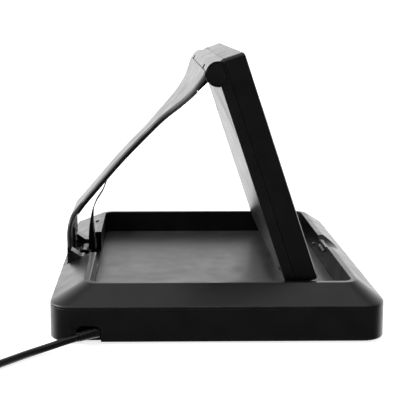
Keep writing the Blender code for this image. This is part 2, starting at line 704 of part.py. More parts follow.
def make_arm_cover(parts, cutters, pivot):
    """The thin inner skin under the arm."""
    whole = arm_line()
    length = sum(math.dist(a[:2], b[:2]) for a, b in zip(whole, whole[1:]))
    cover_end = 1 - COVER_FROM_TOP / length
    stations = [s for s in whole if COVER_START <= s[2] <= cover_end]
    drop = -(ARM_THICKNESS / 2 + GAP + COVER_THICKNESS / 2)
    line = shifted([(x, z) for x, z, _ in stations], drop)
    widths = [arm_width(s) - 2 * COVER_INSET for _, _, s in stations]
    cover = strip("arm_inner_cover", line, [COVER_THICKNESS] * len(line), widths, parts, 0.5)
    for i, side in enumerate((-1, 1), 1):
        seat = extruded(f"cut_cover_lug_{i}", lug_outline(GAP), side * LUG_OFFSET - LUG_WIDTH / 2 - GAP,
                        side * LUG_OFFSET + LUG_WIDTH / 2 + GAP, cutters)
        cut(cover, seat)
    finish_part(cover, "satin_black")
    return hang(cover, pivot)


def make_arm_pin(parts):
    pin = cylinder("arm_hinge_pin", PIN_RADIUS, ARM_PIN_LENGTH, (PIVOT_X, 0, PIVOT_HEIGHT),
                   (0, 1, 0), parts, 24)
    return finish_part(pin, "steel")


def make_leaf(parts, cutters, pivot):
    """The steel leaf on the foot's inner face, rolled round the pin at its lower end."""
    inner = PIVOT_X - FOOT_PLATE_BACK + ARM_THICKNESS / 2 + GAP
    leaf = box("hinge_leaf", (inner, -LEAF_WIDTH / 2, PIVOT_HEIGHT), (inner + LEAF_THICKNESS,
               LEAF_WIDTH / 2, PIVOT_HEIGHT + LEAF_HEIGHT), parts)
    roll = cylinder("join_roll", ROLL_RADIUS, LEAF_WIDTH, (PIVOT_X, 0, PIVOT_HEIGHT),
                    (0, 1, 0), cutters, 24)
    bridge = box("join_bridge", (inner, -LEAF_WIDTH / 2, PIVOT_HEIGHT - 1.5),
                 (PIVOT_X, LEAF_WIDTH / 2, PIVOT_HEIGHT + 1.5), cutters)
    cut(leaf, roll, "UNION")
    cut(leaf, bridge, "UNION")
    bore = cylinder("cut_roll", PIN_RADIUS + PIN_CLEARANCE, LEAF_WIDTH + 4, (PIVOT_X, 0, PIVOT_HEIGHT),
                    (0, 1, 0), cutters, 24)
    cut(leaf, bore)
    finish_part(leaf, "steel")
    hang(leaf, pivot)
    for i in range(LEAF_SCREWS):
        z = PIVOT_HEIGHT + LEAF_SCREW_TOP - i * LEAF_SCREW_PITCH
        x = inner + LEAF_THICKNESS + GAP + LEAF_SCREW_HEAD / 2
        screw = cylinder(f"leaf_screw_{i + 1}", LEAF_SCREW_RADIUS, LEAF_SCREW_HEAD, (x, 0, z), (1, 0, 0),
                         parts, 16)
        finish_part(screw, "steel")
        hang(screw, pivot)


def make_guard(parts, pivot):
    """The tapered guard in front of the hinge, and the flat ribbon lead that runs on from it."""
    front = PIVOT_X + ROLL_RADIUS
    guide = [(front + x, PIVOT_HEIGHT + z, t) for x, z, t in smooth_route(GUARD_ROUTE, 14)]
    guard = strip("hinge_guard", [(x, z) for x, z, _ in guide], [t for _, _, t in guide],
                  [GUARD_WIDTH] * len(guide), parts, 0.5)
    finish_part(guard, "satin_black")
    hang(guard, pivot)
    stations = [(a, b) for a, b, _ in arm_line()]
    step = math.dist(stations[0], stations[1])
    under = shifted(stations, -(ARM_THICKNESS / 2 + GAP + COVER_THICKNESS + RIBBON_CLEARANCE))
    low = (guide[-1][0], guide[-1][1] + 2 * GAP)
    high = under[round(RIBBON_MEETS_ARM / step)]
    third = [(high[0] - low[0]) / 3, (high[1] - low[1]) / 3]
    line = smooth_route([low, (low[0] + third[0] - RIBBON_SWAY, low[1] + third[1]),
                         (high[0] - third[0] + RIBBON_SWAY, high[1] - third[1]), high], 12)
    ribbon = strip("ribbon_lead", line, [RIBBON_THICKNESS] * len(line), [RIBBON_WIDTH] * len(line), parts)
    finish_part(ribbon, "ribbon_grey")
    hang(ribbon, pivot)


# ================================================================ panel
def panel_outline(inset_side, inset_top, inset_bottom, radius):
    """The panel's outline in its own Y and Z, as pairs."""
    return rounded_rectangle(-PANEL_HALF + inset_side, PANEL_HALF - inset_side,
                             -PANEL_BELOW_AXIS + inset_bottom, BARREL_RADIUS - inset_top, radius)


def panel_ring(x, outline):
    return [(x, y, z) for y, z in outline]


def barrel_outline(radius, x_front, sides=40):
    """A D: a circle about the hinge axis, cut flat at x_front."""
    half = math.acos(min(max(x_front / radius, -1.0), 1.0))
    start, sweep = half, 2 * math.pi - 2 * half
    return [(radius * math.cos(start + sweep * i / sides), radius * math.sin(start + sweep * i / sides))
            for i in range(sides + 1)]


def slot_outline():
    """The sector that a lug's bar sweeps in the barrel, in the panel's own X and Z, with the lug's
    ring. Its two straight edges are parallel to the bar at the ends of the panel's swing."""
    first = lug_angle() - LEAN - TILT_MAX
    last = lug_angle() - LEAN - TILT_MIN
    half = LUG_HALF + LUG_SLOT_GAP
    far = BARREL_RADIUS + 6
    near = LUG_RING + LUG_SLOT_GAP
    past = math.degrees(math.asin(half / far))
    points = arc_points(far, first - past, last + past, 20)
    past = math.degrees(math.asin(half / near))
    return points + arc_points(near, last + past, first - past + 360, 16)


def arc_points(radius, start, end, steps):
    """Points on an arc about the panel's axis, from one angle in degrees to another."""
    turns = [math.radians(start + (end - start) * i / steps) for i in range(steps + 1)]
    return [(radius * math.cos(turn), radius * math.sin(turn)) for turn in turns]


def lug_angle():
    """World direction, in degrees, from the panel's axis along a lug into the arm."""
    end = arm_route()[-3]
    return math.degrees(math.atan2(end[1] - AXIS_HEIGHT, end[0] - AXIS_X)) % 360


def lug_outline(grow=0.0):
    """Side view of a lug: a ring about the pin and a bar into the arm."""
    turn = math.radians(lug_angle())
    half = LUG_HALF + grow
    ring = LUG_RING + grow
    spread = math.degrees(math.asin(half / ring))
    points = []
    for i in range(25):
        a = turn + math.radians(spread + (360 - 2 * spread) * i / 24)
        points.append((AXIS_X + ring * math.cos(a), AXIS_HEIGHT + ring * math.sin(a)))
    reach = LUG_REACH + grow
    for side in (-1, 1):
        points.append((AXIS_X + reach * math.cos(turn) - side * half * math.sin(turn),
                       AXIS_HEIGHT + reach * math.sin(turn) + side * half * math.cos(turn)))
    return points


def make_lugs(parts, cutters, pivot):
    for name, side in (("near", -1), ("far", 1)):
        y = side * LUG_OFFSET
        lug = extruded(f"panel_lug_{name}", lug_outline(), y - LUG_WIDTH / 2, y + LUG_WIDTH / 2, parts)
        bore = cylinder(f"cut_lug_{name}", PIN_RADIUS + PIN_CLEARANCE, LUG_WIDTH + 4,
                        (AXIS_X, y, AXIS_HEIGHT), (0, 1, 0), cutters, 24)
        cut(lug, bore)
        finish_part(lug, "steel")
        hang(lug, pivot)


def make_panel_back(parts, cutters, tilt):
    """The panel's rear shell with the D-shaped hinge barrel along its top."""
    back = loft("panel_back", [
        panel_ring(PANEL_BACK, panel_outline(BACK_INSET, 3.0, BACK_INSET, PANEL_CORNER)),
        panel_ring(PANEL_SEAM - GAP / 2, panel_outline(0, 0, 0, PANEL_CORNER))], parts)
    hollow = box("cut_back_hollow", (PANEL_BACK + PANEL_WALL, -PANEL_HALF + 7, -PANEL_BELOW_AXIS + 7),
                 (PANEL_SEAM + 5, PANEL_HALF - 7, -BARREL_RADIUS - 3), cutters)
    cut(back, hollow)
    barrel = loft("join_barrel", [[(x, y, z) for x, z in barrel_outline(BARREL_RADIUS, PANEL_SEAM - GAP / 2)]
                                  for y in (-PANEL_HALF, PANEL_HALF)], cutters)
    cut(back, barrel, "UNION")
    bore = cylinder("cut_back_pin", PIN_RADIUS + GAP, panel_pin_length() + 2 * GAP, (0, 0, 0), (0, 1, 0),
                    cutters, 24)
    cut(back, bore)
    place_in_panel(bore, tilt)
    for tool in (hollow, barrel):
        place_in_panel(tool, tilt)
    for name, side in (("near", -1), ("far", 1)):
        y = side * LUG_OFFSET
        wide = LUG_WIDTH / 2 + SLIDE_GAP
        slot = extruded(f"cut_slot_{name}", slot_outline(), y - wide, y + wide, cutters)
        cut(back, slot)
        place_in_panel(slot, tilt)
        cap_y = side * (PANEL_HALF - CAP_THICKNESS / 2)
        low, high = sorted((side * (PANEL_HALF - CAP_THICKNESS - GAP), side * (PANEL_HALF + 2)))
        seat = loft(f"cut_cap_{name}", [[(x, v, z) for x, z in cap_outline(GAP)] for v in (low, high)], cutters)
        cut(back, seat)
        place_in_panel(seat, tilt)
        low, high = sorted((cap_y - CAP_THICKNESS / 2, cap_y + CAP_THICKNESS / 2))
        cap = loft(f"hinge_cap_{name}", [[(x, v, z) for x, z in cap_outline(0)] for v in (low, high)], parts)
        finish_part(cap, "satin_black")
        place_in_panel(cap, tilt)
    y_out = PANEL_HALF - BACK_SCREW_FROM_END
    rows = (-BACK_SCREW_BELOW_AXIS, BACK_SCREW_FROM_BOTTOM - PANEL_BELOW_AXIS)
    for i, (y, z) in enumerate([(y, z) for z in rows for y in (-y_out, y_out)], 1):
        hole = cylinder(f"cut_back_screw_{i}", BACK_SCREW_RADIUS + GAP, 2 * BACK_SCREW_DEPTH,
                        (PANEL_BACK, y, z), (1, 0, 0), cutters, 16)
        cut(back, hole)
        place_in_panel(hole, tilt)
        middle = PANEL_BACK + BACK_SCREW_DEPTH - GAP - 0.5
        screw = cylinder(f"panel_screw_{i}", BACK_SCREW_RADIUS, 1.0, (middle, y, z), (1, 0, 0), parts, 16)
        finish_part(screw, "steel")
        place_in_panel(screw, tilt)
    finish_part(back, "satin_black")
    return place_in_panel(back, tilt)


def cap_outline(grow):
    return barrel_outline(BARREL_RADIUS - CAP_INSET + grow, PANEL_SEAM - CAP_INSET - 0.6 + grow, 24)


def make_panel_front(parts, cutters, tilt):
    """The panel's front shell: a deep frame with a window, and the glass in a shallow pocket."""
    front = loft("panel_front", [
        panel_ring(PANEL_SEAM + GAP / 2, panel_outline(0, 0, 0, PANEL_CORNER)),
        panel_ring(PANEL_FRONT - FRONT_CHAMFER, panel_outline(0, 0, 0, PANEL_CORNER)),
        panel_ring(PANEL_FRONT - FRONT_CHAMFER * 0.3,
                   panel_outline(FRONT_CHAMFER * 0.3, FRONT_CHAMFER * 0.3, FRONT_CHAMFER * 0.3,
                                 PANEL_CORNER - FRONT_CHAMFER * 0.3)),
        panel_ring(PANEL_FRONT, panel_outline(FRONT_CHAMFER, FRONT_CHAMFER, FRONT_CHAMFER,
                                              PANEL_CORNER - FRONT_CHAMFER))], parts)
    tools = []
    wall = PANEL_WALL + 1.4
    tools.append(box("cut_front_hollow", (PANEL_SEAM - 3, -PANEL_HALF + wall, -PANEL_BELOW_AXIS + wall),
                     (PANEL_FRONT - GLASS_THICKNESS - GAP - PANEL_WALL, PANEL_HALF - wall,
                      BARREL_RADIUS - wall), cutters))
    tools.append(box("cut_window", (PANEL_SEAM, -WINDOW_WIDTH / 2, PANEL_MIDDLE - WINDOW_HEIGHT / 2),
                     (PANEL_FRONT + 3, WINDOW_WIDTH / 2, PANEL_MIDDLE + WINDOW_HEIGHT / 2), cutters))
    glass = glass_outline(GAP)
    tools.append(loft("cut_glass", [panel_ring(PANEL_FRONT - GLASS_THICKNESS - GAP, glass),
                                    panel_ring(PANEL_FRONT + 5, glass)], cutters))
    tools.append(box("cut_top_cover", *top_cover_box(GAP), cutters))
    for side in (-1, 1):
        tools.append(box(f"cut_bumper_{side}", bumper_low(side, GAP), bumper_high(side, GAP), cutters))
    for tool in tools:
        cut(front, tool)
        place_in_panel(tool, tilt)
    finish_part(front, "satin_black")
    place_in_panel(front, tilt)
    pane = loft("panel_glass", [panel_ring(PANEL_FRONT - GLASS_THICKNESS, glass_outline(0)),
                                panel_ring(PANEL_FRONT, glass_outline(0))], parts)
    finish_part(pane, "glass")
    place_in_panel(pane, tilt)
    back = PANEL_FRONT - GLASS_THICKNESS - GAP - PANEL_WALL - GAP
    half_y, half_z = WINDOW_WIDTH / 2 + PLATEN_LAP, WINDOW_HEIGHT / 2 + PLATEN_LAP
    platen = box("platen_backing", (back - PLATEN_THICKNESS, -half_y, PANEL_MIDDLE - half_z),
                 (back, half_y, PANEL_MIDDLE + half_z), parts)
    finish_part(platen, "grain_black")
    place_in_panel(platen, tilt)
    cover = box("panel_top_cover", *top_cover_box(0), parts)
    finish_part(cover, "satin_black")
    place_in_panel(cover, tilt)
    for name, side in (("near", -1), ("far", 1)):
        bumper = box(f"panel_bumper_{name}", bumper_low(side, 0), bumper_high(side, 0), parts)
        finish_part(bumper, "rubber")
        place_in_panel(bumper, tilt)


def top_cover_box(grow):
    """Two corners of the cover let into the panel's top edge, or of its pocket."""
    end = PANEL_HALF - PANEL_CORNER - GAP
    low = (PANEL_SEAM + GAP / 2 + TOP_COVER_MARGIN + GAP - grow, end - TOP_COVER_LENGTH - grow,
           BARREL_RADIUS - TOP_COVER_THICKNESS - grow)
    high = (PANEL_FRONT - FRONT_CHAMFER - TOP_COVER_MARGIN + grow, end + grow,
            BARREL_RADIUS + (BARREL_RADIUS if grow else 0))
    return low, high


def glass_outline(grow):
    inset = GLASS_MARGIN - grow
    return panel_outline(inset, inset, inset, 2.0 + grow)


def bumper_low(side, grow):
    middle = (PANEL_SEAM + PANEL_FRONT) / 2
    return (middle - BUMPER_WIDTH / 2 - grow, side * BUMPER_OFFSET - BUMPER_LENGTH / 2 - grow,
            -PANEL_BELOW_AXIS - (1 if grow else 0.4))


def bumper_high(side, grow):
    middle = (PANEL_SEAM + PANEL_FRONT) / 2
    return (middle + BUMPER_WIDTH / 2 + grow, side * BUMPER_OFFSET + BUMPER_LENGTH / 2 + grow,
            -PANEL_BELOW_AXIS + BUMPER_HEIGHT + grow)


def panel_pin_length():
    return PANEL_WIDTH - 2 * PANEL_PIN_FROM_END


def make_panel_pin(parts, tilt):
    pin = cylinder("panel_hinge_pin", PIN_RADIUS, panel_pin_length(), (0, 0, 0), (0, 1, 0), parts, 24)
    finish_part(pin, "steel")
    return place_in_panel(pin, tilt)


# ================================================================ latch, strike, buttons
def make_latch(parts, cutters):
    """The sprung catch in the front rim, with the ledge that hooks the folded panel."""
    low_x = TRAY_FRONT + GAP
    latch = box("latch", (low_x, -LATCH_WIDTH / 2, LATCH_BOTTOM), (low_x + LATCH_THICKNESS, LATCH_WIDTH / 2,
                LATCH_TOP), parts)
    hook = extruded("join_hook", [(low_x + 1, LATCH_HOOK_HEIGHT), (low_x + 1, LATCH_HOOK_HEIGHT + 4),
                                  (low_x - LATCH_HOOK, LATCH_HOOK_HEIGHT + 0.8),
                                  (low_x - LATCH_HOOK, LATCH_HOOK_HEIGHT)],
                    -LATCH_WIDTH / 2 + 3, LATCH_WIDTH / 2 - 3, cutters)
    cut(latch, hook, "UNION")
    finish_part(latch, "satin_black")
    strike = cylinder("latch_strike", STRIKE_RADIUS, STRIKE_OUT + TUB_WALL,
                      (TRAY_FRONT + (TUB_WALL - STRIKE_OUT) / 2, STRIKE_Y, STRIKE_HEIGHT), (1, 0, 0), parts, 16)
    finish_part(strike, "steel")


def button_place(from_back, from_side):
    """A button's middle on the rear bevel, and the bevel's outward direction there."""
    y = BASE_SIDE - from_side
    x = BASE_BACK + from_back
    axis = Vector((-BACK_SLOPE, 0, 1)).normalized()
    surface = Vector((x, y, bevel_height(from_back)))
    return tuple(surface + axis * (BUTTON_OUT - BUTTON_HEIGHT / 2)), tuple(axis)


def make_buttons(parts):
    for i, place in enumerate(BUTTON_PLACES, 1):
        centre, axis = button_place(*place)
        button = cylinder(f"button_{i}", BUTTON_RADIUS, BUTTON_HEIGHT, centre, axis, parts, 20)
        bevel(button, 0.4, 2)
        finish_part(button, "satin_black")


# ================================================================ mains cord
def make_cord(parts):
    """The strain relief, the cord's loose stretch, its coil, its last stretch and its plug."""
    route = [(BASE_BACK + x, y - BASE_SIDE, z) for x, y, z in CORD_ROUTE]
    first, second = Vector(route[0]), Vector(route[1])
    along = (second - first).normalized()
    middle = first - along * (GAP + RELIEF_LENGTH / 2)
    relief = cylinder("strain_relief", RELIEF_ROOT_RADIUS, RELIEF_LENGTH, middle, along, parts, 20,
                      RELIEF_TIP_RADIUS)
    finish_part(relief, "rubber")
    tube("cord_run", route, parts)
    middle = (BASE_BACK + COIL_CENTRE[0], COIL_CENTRE[1] - BASE_SIDE)
    make_coil(middle, parts)
    x = middle[0] - COIL_MID_RADIUS - TAIL_SLOT * COIL_PITCH
    y = middle[1] + TAIL_RUN
    plug_middle = PLUG_HEIGHT / 2
    tail = [(x, y, TAIL_TOP), (x, y + TAIL_LENGTH * 0.35, (TAIL_TOP + plug_middle) / 2),
            (x, y + TAIL_LENGTH * 0.7, plug_middle), (x, y + TAIL_LENGTH, plug_middle)]
    tube("cord_tail", tail, parts)
    make_plug(x, y + TAIL_LENGTH + 2 * GAP, parts)


def tube(name, route, parts):
    """A round tube on a smooth line through the route's points."""
    fine = smooth_route(route, 200)
    length = sum(math.dist(a, b) for a, b in zip(fine, fine[1:]))
    count = max(4, round(length / (CORD_POINT_STEP * CORD_DIAMETER)) + 1)
    points = even_points(fine, count)
    curve = bpy.data.curves.new(name, "CURVE")
    curve.dimensions = "3D"
    spline = curve.splines.new("POLY")
    spline.points.add(len(points) - 1)
    for place, point in zip(spline.points, points):
        place.co = (*(v * MM for v in point), 1.0)
    curve.bevel_depth = CORD_DIAMETER / 2 * MM
    curve.bevel_resolution = 2
    curve.use_fill_caps = True
    obj = bpy.data.objects.new(name, curve)
    parts.objects.link(obj)
    curve.materials.append(material("cord_black", name))
    return obj


def make_coil(middle, parts):
    """The coiled stretch as one turned ring with rounded edges."""
    data = bmesh.new()
    half_r = ((COIL_ABREAST - 1) * COIL_PITCH + CORD_DIAMETER) / 2 + COIL_CLEARANCE
    half_z = ((COIL_LAYERS - 1) * COIL_PITCH + CORD_DIAMETER) / 2 + COIL_CLEARANCE
    corner = CORD_DIAMETER / 2
    profile = []
    for x, z, start in ((half_r - corner, half_z - corner, 90), (half_r - corner, corner - half_z, 0),
                        (corner - half_r, corner - half_z, -90), (corner - half_r, half_z - corner, -180)):
        for i in range(4):
            turn = math.radians(start - 90 * i / 3)
            profile.append((COIL_MID_RADIUS + x + corner * math.cos(turn), half_z + z + corner * math.sin(turn)))
    points = [data.verts.new((x * MM, 0, z * MM)) for x, z in profile]
    for a, b in zip(points, points[1:] + points[:1]):
        data.edges.new((a, b))
    mesh = bpy.data.meshes.new("cord_coil")
    data.to_mesh(mesh)
    data.free()
    coil = bpy.data.objects.new("cord_coil", mesh)
    parts.objects.link(coil)
    coil.location = Vector((*middle, COIL_LIFT)) * MM
    turn = coil.modifiers.new("turn", "SCREW")
    turn.steps = 40
    turn.render_steps = 40
    turn.use_merge_vertices = True
    turn.merge_threshold = 0.00001
    finish_part(coil, "cord_black")


def make_plug(x, y, parts):
    """A two-blade mains plug lying on its side, its cord end at y."""
    plug = box("mains_plug", (x - PLUG_WIDTH / 2, y, GAP), (x + PLUG_WIDTH / 2, y + PLUG_LENGTH, PLUG_HEIGHT),
               parts, 3.0, 2)
    finish_part(plug, "rubber")
    tip = y + PLUG_LENGTH + GAP
    for i, side in enumerate((-1, 1), 1):
        blade = x + side * BLADE_SPACING / 2
        finish_part(box(f"plug_blade_{i}", (blade - BLADE_THICKNESS / 2, tip, (PLUG_HEIGHT - BLADE_WIDTH) / 2),
                        (blade + BLADE_THICKNESS / 2, tip + BLADE_LENGTH, (PLUG_HEIGHT + BLADE_WIDTH) / 2),
                        parts), "steel")


# ================================================================ assembly
def main():
    clear_scene()
    parts = new_collection("book_scanner")
    cutters = new_collection("cutters")
    pivot = bpy.data.objects.new("arm_pivot", None)
    pivot.location = Vector((PIVOT_X, 0, PIVOT_HEIGHT)) * MM
    parts.objects.link(pivot)
    tilt = bpy.data.objects.new("panel_pivot", None)
    tilt.location = Vector((AXIS_X, 0, AXIS_HEIGHT)) * MM
    tilt.rotation_euler = (0, math.radians(-LEAN), 0)
    parts.objects.link(tilt)
    hang(tilt, pivot)
    make_base_top(parts, cutters)
    make_base_bottom(parts, cutters)
    make_feet_and_screws(parts)
    make_liner(parts)
    make_arm_pin(parts)
    make_arm(parts, cutters, pivot)
    make_arm_cover(parts, cutters, pivot)
    make_leaf(parts, cutters, pivot)
    make_guard(parts, pivot)
    make_lugs(parts, cutters, pivot)
    make_panel_back(parts, cutters, tilt)
    make_panel_front(parts, cutters, tilt)
    make_panel_pin(parts, tilt)
    make_latch(parts, cutters)
    make_buttons(parts)
    make_cord(parts)


main()
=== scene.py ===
# %% [markdown]
# # A book scanner that folds flat
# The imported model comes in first, as a fixed frame. Every piece made below lies in the same
# place as its node there, in metres, so nothing has to be fitted afterwards.

# %% The frame
import json
import math

import bmesh
import bpy
import numpy as np
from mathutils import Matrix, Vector


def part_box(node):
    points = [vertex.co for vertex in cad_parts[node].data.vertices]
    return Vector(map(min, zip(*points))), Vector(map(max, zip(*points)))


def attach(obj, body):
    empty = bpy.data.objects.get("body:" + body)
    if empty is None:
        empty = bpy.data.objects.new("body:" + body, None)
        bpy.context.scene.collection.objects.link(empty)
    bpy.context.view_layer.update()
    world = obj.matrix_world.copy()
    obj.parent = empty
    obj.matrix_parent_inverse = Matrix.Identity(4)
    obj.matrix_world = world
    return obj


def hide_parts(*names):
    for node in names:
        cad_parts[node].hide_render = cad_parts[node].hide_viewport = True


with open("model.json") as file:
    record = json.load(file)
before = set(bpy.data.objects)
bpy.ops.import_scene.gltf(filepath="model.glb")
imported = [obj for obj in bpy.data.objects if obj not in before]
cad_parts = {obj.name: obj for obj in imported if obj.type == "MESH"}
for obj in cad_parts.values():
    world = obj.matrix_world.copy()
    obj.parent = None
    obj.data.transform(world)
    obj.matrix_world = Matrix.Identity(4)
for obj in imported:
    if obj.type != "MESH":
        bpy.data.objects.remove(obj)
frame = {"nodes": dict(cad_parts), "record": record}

nodes = frame["nodes"]
bodies = frame["record"]["behaviour"]["bodies"]
body_of_node = {node: body for body, members in bodies.items() for node in members}
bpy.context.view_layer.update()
MM = 0.001

# %% [markdown]
# ## Camera
# A product is mostly shown from a little above and nearly straight on, through a long lens, so
# that its upright edges stay upright. Shift moves the frame without turning the camera, and only
# a little is used, because the other views keep it.

# %% The camera
camera = bpy.data.objects.new("camera", bpy.data.cameras.new("camera"))
bpy.context.scene.collection.objects.link(camera)
camera.location = (-0.05725, -0.9732, 0.2863)
camera.rotation_euler = (math.radians(90 - 7.89), 0, math.radians(-0.82))
camera.data.lens = 80.86
camera.data.sensor_width = 36
camera.data.shift_x = 0.10
camera.data.shift_y = -0.15
bpy.context.scene.camera = camera
print("camera", camera.data.lens, "mm, shift", camera.data.shift_x, round(camera.data.shift_y, 2))

# %% [markdown]
# ## Room and light
# The scanner is black, so its shape shows only in what it reflects. A white wall behind it puts a
# bright sheen on every face that lies nearly along the view, and the dark room behind the camera
# keeps the upright faces black. A large soft light from above and a smaller one from the left do the rest.

# %% Colours, and a helper that adds a node
def linear(hex_colour, alpha=1.0):
    """An sRGB hex colour as linear light: c / 12.92 below 0.04045, else ((c + 0.055) / 1.055) ** 2.4."""
    srgb = np.array([int(hex_colour[i:i + 2], 16) for i in (1, 3, 5)]) / 255
    return (*np.where(srgb <= 0.04045, srgb / 12.92, ((srgb + 0.055) / 1.055) ** 2.4), alpha)


def add_node(tree, kind, settings=None, links=None):
    """Adds one node. settings sets its properties and sockets, and links joins its sockets to outputs."""
    made = tree.nodes.new(kind)
    for name, value in (settings or {}).items():
        if isinstance(name, str) and hasattr(made, name):
            setattr(made, name, value)
        else:
            made.inputs[name].default_value = value
    for name, output in (links or {}).items():
        tree.links.new(output, made.inputs[name])
    return made


print("satin black in linear light:", [round(float(v), 4) for v in linear("#161719")[:3]])

# %% The room
scene = bpy.context.scene
scene.view_settings.view_transform = "Standard"
world = bpy.data.worlds.new("studio")
world.use_nodes = True
scene.world = world
tree = world.node_tree
tree.nodes.clear()
where = add_node(tree, "ShaderNodeTexCoord")
axes = add_node(tree, "ShaderNodeSeparateXYZ", links={0: where.outputs["Generated"]})
# The wall is brightest straight behind, and fades towards the sides and overhead.
behind = add_node(tree, "ShaderNodeMapRange", {
    "interpolation_type": "SMOOTHSTEP", "From Min": -0.1, "From Max": 0.6, "To Min": 0.0, "To Max": 1.75,
}, {"Value": axes.outputs["Y"]})
low = add_node(tree, "ShaderNodeMapRange", {
    "interpolation_type": "SMOOTHSTEP", "From Min": 0.25, "From Max": 0.8, "To Min": 1.0, "To Max": 0.2,
}, {"Value": axes.outputs["Z"]})
wall = add_node(tree, "ShaderNodeMath", {"operation": "MULTIPLY_ADD", 2: 0.05},
                {0: behind.outputs["Result"], 1: low.outputs["Result"]})
# The backdrop itself is plain white from every side.
path = add_node(tree, "ShaderNodeLightPath")
seen = add_node(tree, "ShaderNodeMath", {"operation": "MAXIMUM"},
                {0: wall.outputs["Value"], 1: path.outputs["Is Camera Ray"]})
sky = add_node(tree, "ShaderNodeBackground", {"Color": (1, 1, 1, 1)}, {"Strength": seen.outputs["Value"]})
add_node(tree, "ShaderNodeOutputWorld", links={"Surface": sky.outputs["Background"]})
print("world of", len(tree.nodes), "nodes")

# %% The floor
floor_mesh = bpy.data.meshes.new("studio_floor")
floor_mesh.from_pydata([(-6, -6, 0), (6, -6, 0), (6, 2, 0), (-6, 2, 0)], [], [(0, 1, 2, 3)])
floor = bpy.data.objects.new("studio_floor", floor_mesh)
scene.collection.objects.link(floor)
floor.visible_glossy = False
# Background paper lit evenly from below, as on a light table, so that it stays white round the object.
paper = bpy.data.materials.new("white_background_paper")
paper.use_nodes = True
sheet = paper.node_tree.nodes["Principled BSDF"].inputs
sheet["Base Color"].default_value = linear("#f4f4f4")
sheet["Roughness"].default_value = 0.9
sheet["Specular IOR Level"].default_value = 0.1
sheet["Emission Color"].default_value = (1, 1, 1, 1)
sheet["Emission Strength"].default_value = 0.8
floor_mesh.materials.append(paper)
print("floor of 12 x 8 m")


# %% Two soft lights
def softbox(name, place, aim, size, power):
    """A rectangular light at a place, turned to face a point."""
    data = bpy.data.lights.new(name, "AREA")
    data.shape = "RECTANGLE"
    data.size, data.size_y = size
    data.energy = power
    light = bpy.data.objects.new(name, data)
    light.location = place
    light.rotation_euler = (Vector(aim) - Vector(place)).to_track_quat("-Z", "Y").to_euler()
    scene.collection.objects.link(light)
    return light


softbox("top_light", (0.0, -0.3, 2.1), (0, 0, 0), (2.4, 1.6), 10)
softbox("left_light", (-1.7, -0.1, 0.75), (0, 0, 0.1), (1.3, 1.1), 30)

# %% [markdown]
# ## Finishes
# Nearly all of the scanner is one plastic: black ABS with a fine spark-eroded texture, which
# gives it a satin sheen. What tells it apart from a flat black is the grain, a slight change of
# gloss where hands have polished it, and a lighter rub along its edges. The other finishes are
# built from the same few nodes: one noise for the grain's bump, one larger noise for the gloss
# and tone, and for the pieces made here an edge mark that is stored in the mesh.

# %% A moulded finish
def finish(name, colour, worn, grain_mm, bump_mm, rough, rough_spread, patch_mm=18.0, metallic=0.0,
           stretch=(1, 1, 1)):
    """A moulded or drawn surface: grain as bump, broad patches of tone and gloss, a rub on marked edges.

    grain_mm is the grain's width and patch_mm the patches': a noise's scale is 1 / width in metres.
    rough is the middle roughness and rough_spread how far the patches move it either way.
    """
    made = bpy.data.materials.new(name)
    made.use_nodes = True
    tree = made.node_tree
    shader = tree.nodes["Principled BSDF"]
    shader.inputs["Metallic"].default_value = metallic
    place = add_node(tree, "ShaderNodeTexCoord")
    drawn = add_node(tree, "ShaderNodeMapping", {"Scale": stretch}, {"Vector": place.outputs["Object"]})
    grain = add_node(tree, "ShaderNodeTexNoise", {
        "Scale": 1 / (grain_mm * MM), "Detail": 3.0, "Roughness": 0.6}, {"Vector": drawn.outputs["Vector"]})
    patches = add_node(tree, "ShaderNodeTexNoise", {
        "Scale": 1 / (patch_mm * MM), "Detail": 4.0, "Roughness": 0.55}, {"Vector": place.outputs["Object"]})
    edge = add_node(tree, "ShaderNodeAttribute", {"attribute_name": "edge"})
    broken = add_node(tree, "ShaderNodeMath", {"operation": "MULTIPLY"},
                      {0: edge.outputs["Fac"], 1: patches.outputs["Fac"]})
    tone = add_node(tree, "ShaderNodeMapRange", {
        "From Min": 0.3, "From Max": 0.7, "To Min": 0.82, "To Max": 1.18}, {"Value": patches.outputs["Fac"]})
    base = add_node(tree, "ShaderNodeVectorMath", {"operation": "SCALE", 0: linear(colour)[:3]},
                    {"Scale": tone.outputs["Result"]})
    rubbed = add_node(tree, "ShaderNodeMix", {"data_type": "RGBA"}, {"Factor": broken.outputs["Value"]})
    tree.links.new(base.outputs["Vector"], rubbed.inputs["A"])
    rubbed.inputs["B"].default_value = linear(worn)
    tree.links.new(rubbed.outputs["Result"], shader.inputs["Base Color"])
    gloss = add_node(tree, "ShaderNodeMapRange", {
        "From Min": 0.3, "From Max": 0.7, "To Min": rough - rough_spread, "To Max": rough + rough_spread,
    }, {"Value": patches.outputs["Fac"]})
    tree.links.new(gloss.outputs["Result"], shader.inputs["Roughness"])
    bump = add_node(tree, "ShaderNodeBump", {"Strength": 1.0, "Distance": bump_mm * MM},
                    {"Height": grain.outputs["Fac"]})
    tree.links.new(bump.outputs["Normal"], shader.inputs["Normal"])
    return made


# %% The plastics, rubber and metals
# ABS moulded in a spark-eroded tool: near black in itself, with a satin sheen that whitens at a low
# angle. The tool's grain is about 0.15 mm wide; 0.7 mm is as fine as it can be and still show.
satin_abs = finish("satin_abs_spark_texture", "#111113", "#4a4a4c", 0.7, 0.012, 0.33, 0.05)
# The same ABS with a coarser leather-like grain, on the tray's lining and the platen: duller and greyer.
grained_abs = finish("grained_abs_lining", "#48484a", "#5c5c5e", 1.1, 0.05, 0.36, 0.05)
# The backing behind the glass: ABS sprayed matt black, so that nothing shows through a page.
matt_paint = finish("matt_black_sprayed_abs", "#0c0c0d", "#2c2c2e", 0.8, 0.02, 0.62, 0.06)
